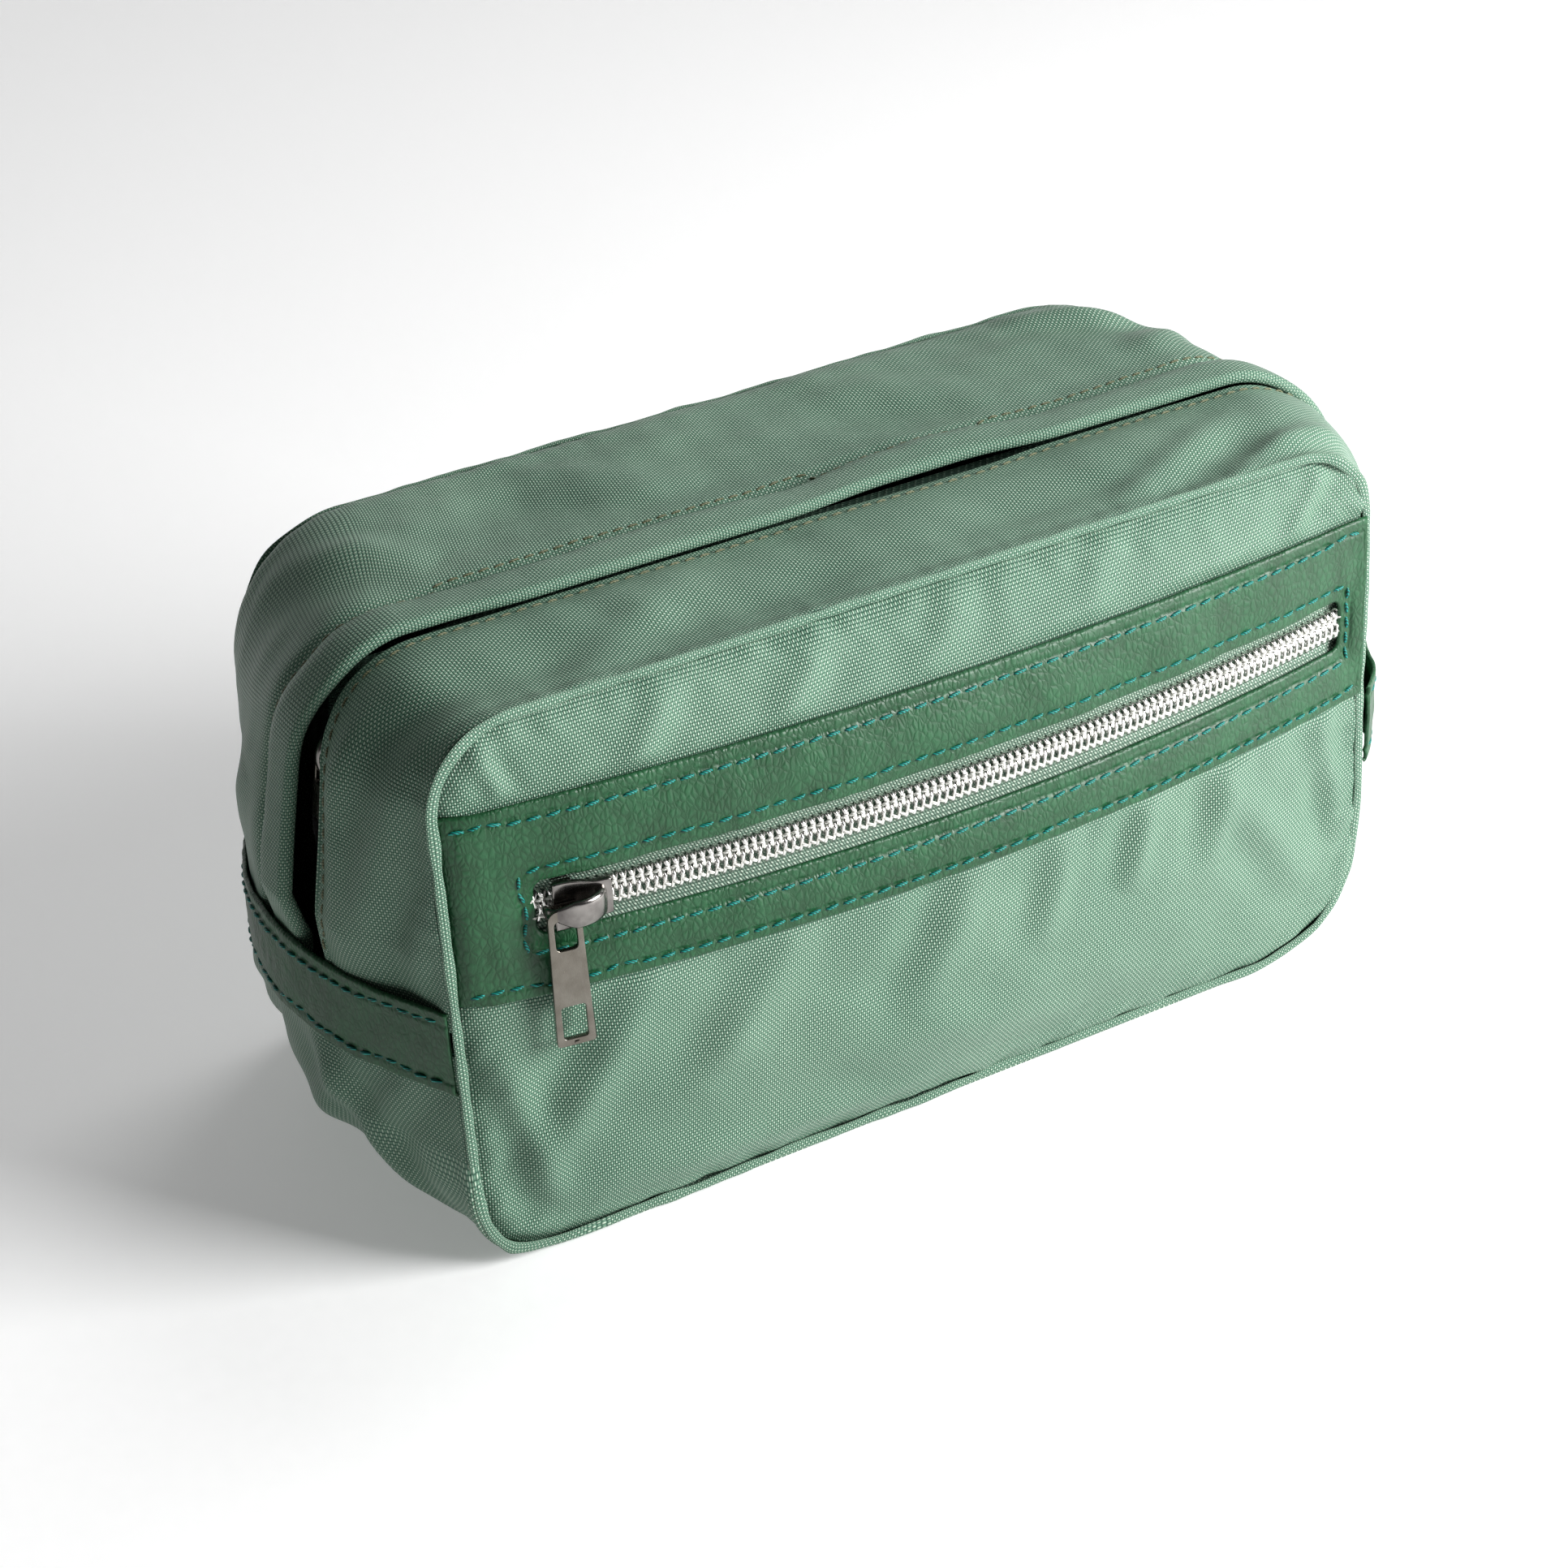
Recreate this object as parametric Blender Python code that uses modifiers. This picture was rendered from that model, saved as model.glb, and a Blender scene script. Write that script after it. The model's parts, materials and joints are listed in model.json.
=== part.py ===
"""Soft wash bag: an upright box of woven fabric with a zipped pocket across its front
and a main zip that runs over the top and down both ends. Metres, +Z up, the front
faces -Y, the base rests on Z = 0."""
import math

import bmesh
import bpy
from mathutils import Matrix, Vector

MM = 0.001

# Body of the bag, seam to seam
WIDTH = 200 * MM
HEIGHT = 115 * MM
DEPTH = 94 * MM
TOP_RADIUS = 17 * MM
BASE_RADIUS = 25 * MM
CENTRE_X = 4.58 * MM
CENTRE_Y = -2.498 * MM

# How far the filled bag bows out of its seams
FRONT_BOW = 11 * MM
BACK_BOW = 8 * MM
LEFT_BOW = ((0.0, 7.0), (22.0, 11.0), (42.0, 14.0), (66.0, 14.0), (115.0, 4.25))
RIGHT_BOW = ((0.0, 8.0), (22.0, 14.0), (42.0, 21.0), (60.0, 23.5), (90.0, 17.5), (115.0, 9.0))
BAND_BOW = 10.59 * MM
PLAN_RADIUS = ((WIDTH / 2) ** 2 + BAND_BOW ** 2) / (2 * BAND_BOW)

# Layers
GAP = 0.3 * MM
FABRIC = 1.0 * MM
LEATHER = 0.8 * MM
TAPE = 0.6 * MM
LINING = 0.8 * MM
RIM_RADIUS = 1.7 * MM
RIM_INSET = 0.2 * MM
BINDING_DEPTH = 2.1 * MM
PANEL_INSET = 2.3 * MM
PANEL_BASE = 3.8 * MM
GUSSET_EDGE = 1.7 * MM
THREAD_RADIUS = 0.3 * MM
THREAD_INSET = 2.6 * MM

# Leather bands
FACING_TOP = 98.7 * MM
FACING_BASE = 59.1 * MM
END_BAND_TOP = 59.1 * MM
END_BAND_BASE = 41.3 * MM
END_JOIN = 50.0 * MM
UNDERLAP = 5.0 * MM

# Pocket window and zip
WINDOW_LEFT = -83.5 * MM
WINDOW_RIGHT = 93.5 * MM
WINDOW_Z = 76.6 * MM
WINDOW_HALF = 5.4 * MM
WINDOW_RADIUS = 2.0 * MM
WINDOW_STITCH = 2.7 * MM
POCKET_CHAIN_DEPTH = 1.5 * MM
POCKET_SLIDER_X = -76.3 * MM
POUCH_HALF = 88.0 * MM
POUCH_BASE = 22.0 * MM
POUCH_TOP = 92.0 * MM
POUCH_FRONT = 4.3 * MM
POUCH_DEPTH = 9.0 * MM
POUCH_MOUTH_HALF = 9.0 * MM

# Coil zip, size 5
CHAIN_HALF = 3.6 * MM
CHAIN_SLOT = 0.55 * MM
CHAIN_THICKNESS = 2.0 * MM
TAPE_START = 3.9 * MM
TAPE_FLAT = 5.4 * MM
TAPE_HALF = 10.5 * MM
MAIN_ZIP_Y = -13.5 * MM
MAIN_CHAIN_DEPTH = 5.6 * MM
MAIN_CHAIN_RADIUS = 5.4 * MM
LIP_GAP_LEFT = 6.9 * MM
LIP_GAP_TOP = 4.4 * MM
SPLIT_DEGREES = 20.7
SPLIT_CLEARANCE = 0.55
MAIN_SLIDER_Z = 96.8 * MM
FRONT_LIP_STITCH = 1.8 * MM
BACK_LIP_STITCH = 14.0 * MM

# Sliders and pulls
SLIDER_LENGTH = 13.0 * MM
SLIDER_NOSE = 10.0 * MM
SLIDER_TAIL = 7.4 * MM
PLATE = 1.2 * MM
PLATE_LOW = 1.3 * MM
FLANGE = 1.1 * MM
FLANGE_LOW = 0.6 * MM
POST = 0.5 * MM
CROWN_HEIGHT = 3.9 * MM
CROWN_BEAM = 0.9 * MM
CROWN_LENGTH = 3.4 * MM
CROWN_SPAN = 4.6 * MM
CROWN_LEG = 0.9 * MM
POCKET_CROWN_SHIFT = -3.4 * MM
PIVOT = 4.65 * MM
PULL_THICKNESS = 1.1 * MM
PULL_BAR = 1.3 * MM
SPRING = 0.35 * MM

COLOURS = {
    "fabric": ((0.30, 0.45, 0.36, 1), 0.75, 0.0),
    "leather": ((0.06, 0.20, 0.12, 1), 0.5, 0.0),
    "tape": ((0.32, 0.45, 0.37, 1), 0.85, 0.0),
    "dark_tape": ((0.03, 0.04, 0.035, 1), 0.85, 0.0),
    "coil": ((0.82, 0.81, 0.80, 1), 0.25, 1.0),
    "slider": ((0.35, 0.34, 0.33, 1), 0.25, 1.0),
    "pull": ((0.60, 0.58, 0.55, 1), 0.3, 1.0),
    "teal_thread": ((0.03, 0.30, 0.26, 1), 0.7, 0.0),
    "olive_thread": ((0.22, 0.22, 0.12, 1), 0.7, 0.0),
    "lining": ((0.10, 0.12, 0.11, 1), 0.7, 0.0),
}


def clear_scene():
    for obj in list(bpy.data.objects):
        bpy.data.objects.remove(obj, do_unlink=True)


def collection(name):
    found = bpy.data.collections.new(name)
    bpy.context.scene.collection.children.link(found)
    return found


def material(node, slot):
    colour, roughness, metallic = COLOURS[slot]
    made = bpy.data.materials.new(node)
    made.use_nodes = True
    shader = made.node_tree.nodes["Principled BSDF"]
    shader.inputs["Base Color"].default_value = colour
    shader.inputs["Roughness"].default_value = roughness
    shader.inputs["Metallic"].default_value = metallic
    made.diffuse_color = colour
    return made


def placed(x, y, z):
    """From the seam frame to the part's frame, whose origin is under the box's middle."""
    return Vector((x - CENTRE_X, y - CENTRE_Y, z))


def add(node, slot, mesh):
    obj = bpy.data.objects.new(node, mesh)
    obj.data.materials.clear()
    obj.data.materials.append(material(node, slot))
    PARTS.objects.link(obj)
    return obj


# ---- surfaces of the filled bag ---------------------------------------------------

def end_bow(z, right=False):
    """How far an end stands out of its seams at a height, halfway through the depth."""
    table = RIGHT_BOW if right else LEFT_BOW
    height = z / MM
    for (z0, b0), (z1, b1) in zip(table, table[1:]):
        if height <= z1:
            share = max(height - z0, 0.0) / (z1 - z0)
            return (b0 + (b1 - b0) * share) * MM
    return table[-1][1] * MM


def plan_curve(x):
    """1 at the middle of the front and 0 at its side seams, along a circle's arc."""
    x = max(-WIDTH / 2, min(WIDTH / 2, x))
    rise = math.sqrt(PLAN_RADIUS ** 2 - x * x) - (PLAN_RADIUS - BAND_BOW)
    return rise / BAND_BOW


def height_curve(z):
    v = (z - HEIGHT / 2) / (HEIGHT / 2)
    return 1 - min(abs(v), 1.0) ** 3


def front(x, z, out=0.0):
    bow = FRONT_BOW * plan_curve(x) * height_curve(z)
    return placed(x, -DEPTH / 2 - bow - out, z)


def back(x, z, out=0.0):
    bow = BACK_BOW * plan_curve(x) * height_curve(z)
    return placed(x, DEPTH / 2 + bow + out, z)


def ring(station, inset=0.0, radius=None):
    """A point of the bag's outline: left end up, over the top, right end down, base."""
    segment, value = station
    top_radius = TOP_RADIUS - inset if radius is None else radius
    base_radius = BASE_RADIUS - inset
    half = WIDTH / 2 - inset
    top = HEIGHT - inset
    angle = math.radians(value) if segment in ("TL", "TR", "BL", "BR") else 0.0
    if segment == "L":
        return -half, value
    if segment == "R":
        return half, value
    if segment == "T":
        return value * (half - top_radius), top
    if segment == "B":
        return value * (half - base_radius), inset
    side = -1 if segment in ("TL", "BL") else 1
    if segment in ("TL", "TR"):
        reach = half - top_radius + top_radius * math.cos(angle)
        return side * reach, top - top_radius + top_radius * math.sin(angle)
    reach = half - base_radius + base_radius * math.cos(angle)
    return side * reach, inset + base_radius - base_radius * math.sin(angle)


def gusset(station, y, inset=0.0, radius=None, flat_y=None):
    """A point on the strip round the bag; flat_y holds the bow of one depth."""
    x, z = ring(station, inset, radius)
    t = ((y if flat_y is None else flat_y) + DEPTH / 2) / DEPTH
    bow = end_bow(z, x > 0) * 4 * t * (1 - t)
    return placed(x * (1 + bow / (WIDTH / 2)), y, z)


def spread(first, last, count):
    return [first + (last - first) * i / count for i in range(count + 1)]


def over_top(split=0.0, radius=None):
    """Stations of the flaps, from the left split over the top to the right split."""
    angles = [split] + [a for a in (15, 30, 45, 60, 75, 90) if a > split + 3]
    left = [("TL", a) for a in angles]
    across = [("T", x) for x in (-0.75, -0.5, -0.25, 0, 0.25, 0.5, 0.75)]
    right = [("TR", a) for a in reversed(angles)]
    return left + across + right


def side_up(segment, low, high, split=None):
    """Stations up one end, from a height to the straight part's top or the split."""
    heights = [low] + [z * MM for z in (60, 66, 72, 78, 84, 90, 96) if low < z * MM < high]
    stations = [(segment, z) for z in heights + [high]]
    if split is not None:
        corner = "TL" if segment == "L" else "TR"
        stations += [(corner, a) for a in (7, 14) if a < split] + [(corner, split)]
    return stations


def under_base(high):
    """Stations down the left end, under the base and up the right end."""
    down = [z * MM for z in (49, 44, 39, 34, 29) if z * MM < high - 0.5 * MM]
    left = [("L", high)] + [("L", z) for z in down]
    angles = (0, 15, 30, 45, 60, 75, 90)
    left += [("BL", a) for a in angles]
    base = [("B", x) for x in (-0.5, 0, 0.5)]
    right = [("BR", a) for a in reversed(angles)]
    right += [("R", z) for z in reversed(down)] + [("R", high)]
    return left + base + right


# ---- mesh builders ----------------------------------------------------------------

def sheet_mesh(name, rows, columns, point):
    """An open grid whose vertex (i, j) is put at point(rows[i], columns[j])."""
    bm = bmesh.new()
    nu = len(rows) - 1
    nv = len(columns) - 1
    bmesh.ops.create_grid(bm, x_segments=nu, y_segments=nv, size=0.5)
    for vertex in bm.verts:
        i = round((vertex.co.x + 0.5) * nu)
        j = round((vertex.co.y + 0.5) * nv)
        vertex.co = point(rows[i], columns[j])
    mesh = bpy.data.meshes.new(name)
    bm.to_mesh(mesh)
    bm.free()
    return mesh


def thicken(obj, thickness, inward):
    """Gives an open sheet its thickness behind the side that inward points away from."""
    mesh = obj.data
    facing = max(mesh.polygons, key=lambda face: abs(face.normal.dot(inward)))
    facing_in = facing.normal.dot(inward) > 0
    solid = obj.modifiers.new("thickness", "SOLIDIFY")
    solid.thickness = thickness
    solid.use_even_offset = True
    if facing_in:
        mesh.flip_normals()
    solid.offset = -1
    return obj


def sheet(node, slot, rows, columns, point, thickness, inward):
    obj = add(node, slot, sheet_mesh(node, rows, columns, point))
    return thicken(obj, thickness, Vector(inward))


def tube(node, slot, points, radius, closed=False, sides=1):
    curve = bpy.data.curves.new(node, "CURVE")
    curve.dimensions = "3D"
    curve.bevel_depth = radius
    curve.bevel_resolution = sides
    curve.use_fill_caps = not closed
    spline = curve.splines.new("POLY")
    spline.points.add(len(points) - 1)
    for target, point in zip(spline.points, points):
        target.co = (*point, 1)
    spline.use_cyclic_u = closed
    return add(node, slot, curve)


def plate(node, slot, outlines, thickness):
    """A flat piece in its own XY plane, from closed outlines; inner ones are holes."""
    curve = bpy.data.curves.new(node, "CURVE")
    curve.dimensions = "2D"
    curve.fill_mode = "BOTH"
    curve.extrude = thickness / 2
    for outline in outlines:
        spline = curve.splines.new("POLY")
        spline.points.add(len(outline) - 1)
        for target, (x, y) in zip(spline.points, outline):
            target.co = (x, y, 0, 1)
        spline.use_cyclic_u = True
    return add(node, slot, curve)


def plate_mesh(name, outlines, thickness, matrix):
    """The same flat piece as a welded mesh, for a Boolean."""
    obj = plate(name, "slider", outlines, thickness)
    graph = bpy.context.evaluated_depsgraph_get()
    mesh = bpy.data.meshes.new_from_object(obj.evaluated_get(graph))
    bpy.data.objects.remove(obj, do_unlink=True)
    bm = bmesh.new()
    bm.from_mesh(mesh)
    bmesh.ops.remove_doubles(bm, verts=bm.verts, dist=0.01 * MM)
    bmesh.ops.transform(bm, matrix=matrix, verts=bm.verts)
    bmesh.ops.recalc_face_normals(bm, faces=bm.faces)
    bm.to_mesh(mesh)
    bm.free()
    return mesh


def rounded(x0, x1, y0, y1, radius, steps=3):
    corners = ((x1 - radius, y1 - radius, 0), (x0 + radius, y1 - radius, 90),
               (x0 + radius, y0 + radius, 180), (x1 - radius, y0 + radius, 270))
    points = []
    for cx, cy, start in corners:
        for i in range(steps + 1):
            angle = math.radians(start + 90 * i / steps)
            points.append((cx + radius * math.cos(angle), cy + radius * math.sin(angle)))
    return points


def block(bm, low, high):
    size = [b - a for a, b in zip(low, high)]
    middle = [(a + b) / 2 for a, b in zip(low, high)]
    matrix = Matrix.Translation(middle) @ Matrix.Diagonal((*size, 1))
    return bmesh.ops.create_cube(bm, size=1, matrix=matrix)["verts"]


def mesh_of_block(name, low, high, shape=None):
    bm = bmesh.new()
    block(bm, low, high)
    if shape is not None:
        for vertex in bm.verts:
            vertex.co = shape(vertex.co)
    bmesh.ops.recalc_face_normals(bm, faces=bm.faces)
    mesh = bpy.data.meshes.new(name)
    bm.to_mesh(mesh)
    bm.free()
    return mesh


def boolean(obj, cutter, operation):
    modifier = obj.modifiers.new(operation.lower(), "BOOLEAN")
    modifier.operation = operation
    modifier.object = cutter
    modifier.solver = "EXACT"


def cutter(name, mesh):
    obj = bpy.data.objects.new(name, mesh)
    obj.hide_render = True
    obj.display_type = "WIRE"
    CUTTERS.objects.link(obj)
    return obj


# ---- fabric and leather -----------------------------------------------------------

def panel_rows(low, high):
    """Heights of a panel's rows, closer together in the outline's rounded corners."""
    heights = set()
    for angle in (0, 20, 40, 60, 75, 90):
        step = math.radians(angle)
        r = BASE_RADIUS - PANEL_BASE
        heights.add(PANEL_BASE + r * (1 - math.sin(step)))
        r = TOP_RADIUS - PANEL_INSET
        heights.add(HEIGHT - PANEL_INSET - r * (1 - math.sin(step)))
    heights.update(z * MM for z in (36, 47, 58, 68, 78, 88))
    inner = [z for z in sorted(heights) if low + MM < z < high - MM]
    return [low] + inner + [high]


def panel_half(z):
    """Half the panel's width at a height, inside the rounded outline."""
    half = WIDTH / 2 - PANEL_INSET
    drop = (BASE_RADIUS - z) / (BASE_RADIUS - PANEL_BASE)
    r = BASE_RADIUS - PANEL_INSET
    if drop > 0:
        return half - r + r * math.sqrt(max(1 - drop * drop, 0.0))
    rise = (z - (HEIGHT - TOP_RADIUS)) / (TOP_RADIUS - PANEL_INSET)
    r = TOP_RADIUS - PANEL_INSET
    if rise > 0:
        return half - r + r * math.sqrt(max(1 - rise * rise, 0.0))
    return half


def panel(node, slot, low, high, surface, out, thickness, inward, columns=12):
    def point(z, u):
        return surface(u * panel_half(z), z, out)
    return sheet(node, slot, panel_rows(low, high), spread(-1, 1, columns), point,
                 thickness, inward)


def make_panels():
    low = PANEL_BASE
    high = HEIGHT - PANEL_INSET
    panel("front_upper_panel", "fabric", FACING_TOP - UNDERLAP, high, front, 0, FABRIC,
          (0, 1, 0))
    panel("front_lower_panel", "fabric", low, FACING_BASE + UNDERLAP, front, 0, FABRIC,
          (0, 1, 0))
    panel("back_panel", "fabric", low, high, back, 0, FABRIC, (0, -1, 0), 8)
    facing = panel("pocket_facing", "leather", FACING_BASE, FACING_TOP, front,
                   GAP + LEATHER, LEATHER, (0, 1, 0))
    outline = rounded(WINDOW_LEFT, WINDOW_RIGHT, WINDOW_Z - WINDOW_HALF,
                      WINDOW_Z + WINDOW_HALF, WINDOW_RADIUS)
    turn = Matrix.Translation(placed(0, -DEPTH / 2, 0)) @ Matrix.Rotation(
        math.radians(90), 4, "X")
    mesh = plate_mesh("pocket_window_cutter", [outline], DEPTH / 2, turn)
    boolean(facing, cutter("pocket_window_cutter", mesh), "DIFFERENCE")


def rim_inset(station):
    """The rim follows the outline, and rises over the base so that the base is lowest."""
    segment, value = station
    share = 1.0 if segment == "B" else value / 90 if segment in ("BL", "BR") else 0.0
    return RIM_INSET + (RIM_RADIUS - RIM_INSET) * share


def make_gusset():
    edge = DEPTH / 2 - GUSSET_EDGE
    across = spread(-edge, edge, 10)
    sheet("bottom_gusset", "fabric", under_base(END_JOIN), across, gusset, FABRIC,
          (0, 0, 1))
    for side, name in (("L", "left"), ("R", "right")):
        heights = spread(END_BAND_BASE, END_BAND_TOP, 3)

        def band(station, y):
            return gusset(station, y, -GAP - LEATHER)

        inward = (1, 0, 0) if side == "L" else (-1, 0, 0)
        sheet(name + "_end_band", "leather", [(side, z) for z in heights], across, band,
              LEATHER, inward)
    for name, y in (("front_rim", -DEPTH / 2 - 0.4 * MM),
                    ("back_rim", DEPTH / 2 + 0.4 * MM)):
        left = [("L", z * MM) for z in (40, 60, 80)]
        stations = left + over_top(0.0) + [("R", z * MM) for z in (80, 60, 40)]
        stations += [("BR", a) for a in (0, 20, 40, 60, 80)]
        stations += [("B", x) for x in (0.9, 0, -0.9)]
        stations += [("BL", a) for a in (80, 60, 40, 20, 0)]
        points = [gusset(s, y, rim_inset(s), flat_y=math.copysign(DEPTH / 2, y))
                  for s in stations]
        tube(name, "fabric", points, RIM_RADIUS, True)


def lip_gap(station):
    """Half the open groove between the two lips."""
    segment, value = station
    wide = LIP_GAP_LEFT / 2
    narrow = LIP_GAP_TOP / 2
    if segment == "L":
        return wide
    if segment == "TL":
        share = max(value - SPLIT_DEGREES, 0.0) / (90 - SPLIT_DEGREES)
        return wide + (narrow - wide) * share
    return narrow


def lip_point(back_side, out=0.0):
    edge = DEPTH / 2 - GUSSET_EDGE

    def point(station, share):
        if back_side:
            near = MAIN_ZIP_Y + lip_gap(station)
            y = near + (edge - near) * share
        else:
            far = MAIN_ZIP_Y - lip_gap(station)
            y = -edge + (far + edge) * share
        return gusset(station, y, -out)

    return point


def make_lips():
    low = SPLIT_DEGREES - SPLIT_CLEARANCE
    high = SPLIT_DEGREES + SPLIT_CLEARANCE
    for back_side, name in ((False, "front"), (True, "back")):
        point = lip_point(back_side)
        shares = spread(0, 1, 5 if back_side else 3)
        for side, end in (("L", "left"), ("R", "right")):
            rows = side_up(side, END_JOIN + GAP, HEIGHT - TOP_RADIUS, low)
            inward = (1, 0, 0) if side == "L" else (-1, 0, 0)
            sheet(name + "_lip_" + end + "_end", "fabric", rows, shares, point, FABRIC,
                  inward)
        sheet(name + "_lip_top", "fabric", over_top(high), shares, point, FABRIC,
              (0, 0, -1))


# ---- zips -------------------------------------------------------------------------

def make_main_zip():
    low = END_JOIN - 3 * MM
    straight_top = HEIGHT - MAIN_CHAIN_DEPTH - MAIN_CHAIN_RADIUS
    clearance = 1.6
    parts = (("left", side_up("L", low, straight_top - GAP / 2), (1, 0, 0)),
             ("top", over_top(clearance), (0, 0, -1)),
             ("right", side_up("R", low, straight_top - GAP / 2), (-1, 0, 0)))
    for sign, half in ((-1, "front"), (1, "back")):
        for part, stations, inward in parts:
            def layer(thickness):
                def point(station, w):
                    y = MAIN_ZIP_Y + sign * w
                    inset = MAIN_CHAIN_DEPTH - thickness / 2
                    radius = MAIN_CHAIN_RADIUS + thickness / 2
                    return gusset(station, y, inset, radius, MAIN_ZIP_Y)
                return point

            sheet("main_teeth_" + half + "_" + part, "coil", stations,
                  [CHAIN_SLOT, CHAIN_HALF], layer(CHAIN_THICKNESS), CHAIN_THICKNESS,
                  inward)
            sheet("main_tape_" + half + "_" + part, "dark_tape", stations,
                  [TAPE_START, TAPE_HALF], layer(TAPE), TAPE, inward)


def pocket_arc(x, w, out):
    """A point of the pocket zip, on the arc that the slider follows."""
    y = -DEPTH / 2 - BAND_BOW * plan_curve(x) + POCKET_CHAIN_DEPTH - out
    return placed(x, y, WINDOW_Z + w)


def make_pocket_zip():
    columns = spread(WINDOW_LEFT - 5 * MM, WINDOW_RIGHT + 1.5 * MM, 16)
    for sign, half in ((1, "upper"), (-1, "lower")):
        def teeth(x, w):
            return pocket_arc(x, sign * w, CHAIN_THICKNESS / 2)

        def tape(x, w):
            if w <= TAPE_FLAT:
                return pocket_arc(x, sign * w, TAPE / 2)
            return front(x, WINDOW_Z + sign * w, TAPE / 2 - POCKET_CHAIN_DEPTH)

        sheet("pocket_teeth_" + half, "coil", columns, [CHAIN_SLOT, CHAIN_HALF], teeth,
              CHAIN_THICKNESS, (0, 1, 0))
        sheet("pocket_tape_" + half, "tape", columns, [TAPE_START, TAPE_FLAT, TAPE_HALF],
              tape, TAPE, (0, 1, 0))


def hollow(name, low, high, half, out, thickness):
    def point(z, x):
        return front(x, z, out)
    mesh = sheet_mesh(name, spread(low, high, 6), spread(-half, half, 8), point)
    return thicken(cutter(name, mesh), thickness, Vector((0, 1, 0)))


def make_pouch():
    def point(z, x):
        return front(x, z, -POUCH_FRONT)
    pouch = sheet("pocket_pouch", "lining", spread(POUCH_BASE, POUCH_TOP, 6),
                  spread(-POUCH_HALF, POUCH_HALF, 8), point, POUCH_DEPTH, (0, 1, 0))
    wall = LINING
    inside = hollow("pouch_inside_cutter", POUCH_BASE + wall, POUCH_TOP - wall,
                    POUCH_HALF - wall, -POUCH_FRONT - wall, POUCH_DEPTH - 2 * wall)
    mouth = hollow("pouch_mouth_cutter", WINDOW_Z - POUCH_MOUTH_HALF,
                   WINDOW_Z + POUCH_MOUTH_HALF, POUCH_HALF - 2 * wall,
                   -POUCH_FRONT + 2 * wall, 5 * wall)
    boolean(pouch, inside, "DIFFERENCE")
    boolean(pouch, mouth, "DIFFERENCE")


# ---- lining -----------------------------------------------------------------------

TUB_CUTS = 7
TUB_BASE = 3.4 * MM
TUB_TOP = 101.5 * MM
TUB_END_CLEARANCE = 10.5 * MM
TUB_FRONT_CLEARANCE = 14.8 * MM
TUB_BACK_CLEARANCE = 2.2 * MM
TUB_CORNER = 0.05
TUB_FLOOR_TUCK = 22.0 * MM


def make_tub():
    bm = bmesh.new()
    bmesh.ops.create_cube(bm, size=2)
    lid = [f for f in bm.faces if f.normal.z > 0.9]
    bmesh.ops.delete(bm, geom=lid, context="FACES_ONLY")
    bmesh.ops.subdivide_edges(bm, edges=bm.edges[:], cuts=TUB_CUTS, use_grid_fill=True)
    for vertex in bm.verts:
        a, b, c = vertex.co
        z = TUB_BASE + (TUB_TOP - TUB_BASE) * (c + 1) / 2
        tuck = TUB_FLOOR_TUCK * max(0.0, 1 - (z - TUB_BASE) / TUB_FLOOR_TUCK) ** 2
        plan = plan_curve(a * WIDTH / 2)
        y_front = -DEPTH / 2 + TUB_FRONT_CLEARANCE - FRONT_BOW * height_curve(z) * plan
        y_back = DEPTH / 2 - TUB_BACK_CLEARANCE + BACK_BOW * height_curve(z) * 0.5 * plan
        y = y_front + (y_back - y_front) * (b * (1 - TUB_CORNER * a * a) + 1) / 2
        t = (y + DEPTH / 2) / DEPTH
        bow = end_bow(z, a > 0) * 4 * t * (1 - t)
        half = WIDTH / 2 - TUB_END_CLEARANCE - tuck + bow
        vertex.co = placed(a * half * (1 - TUB_CORNER * b * b), y, z)
    mesh = bpy.data.meshes.new("lining_tub")
    bm.to_mesh(mesh)
    bm.free()
    tub = add("lining_tub", "lining", mesh)
    solid = tub.modifiers.new("thickness", "SOLIDIFY")
    solid.thickness = LINING
    solid.offset = -1
    solid.use_even_offset = True


def make_bindings():
    inner = DEPTH / 2 - GUSSET_EDGE
    for sign, name in ((-1, "front"), (1, "back")):
        def point(station, y):
            return gusset(station, sign * y, BINDING_DEPTH)
        sheet(name + "_seam_binding", "lining", under_base(END_JOIN),
              [inner, inner - 4.2 * MM], point, LINING, (0, 0, 1))


# ---- threads ----------------------------------------------------------------------

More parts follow.
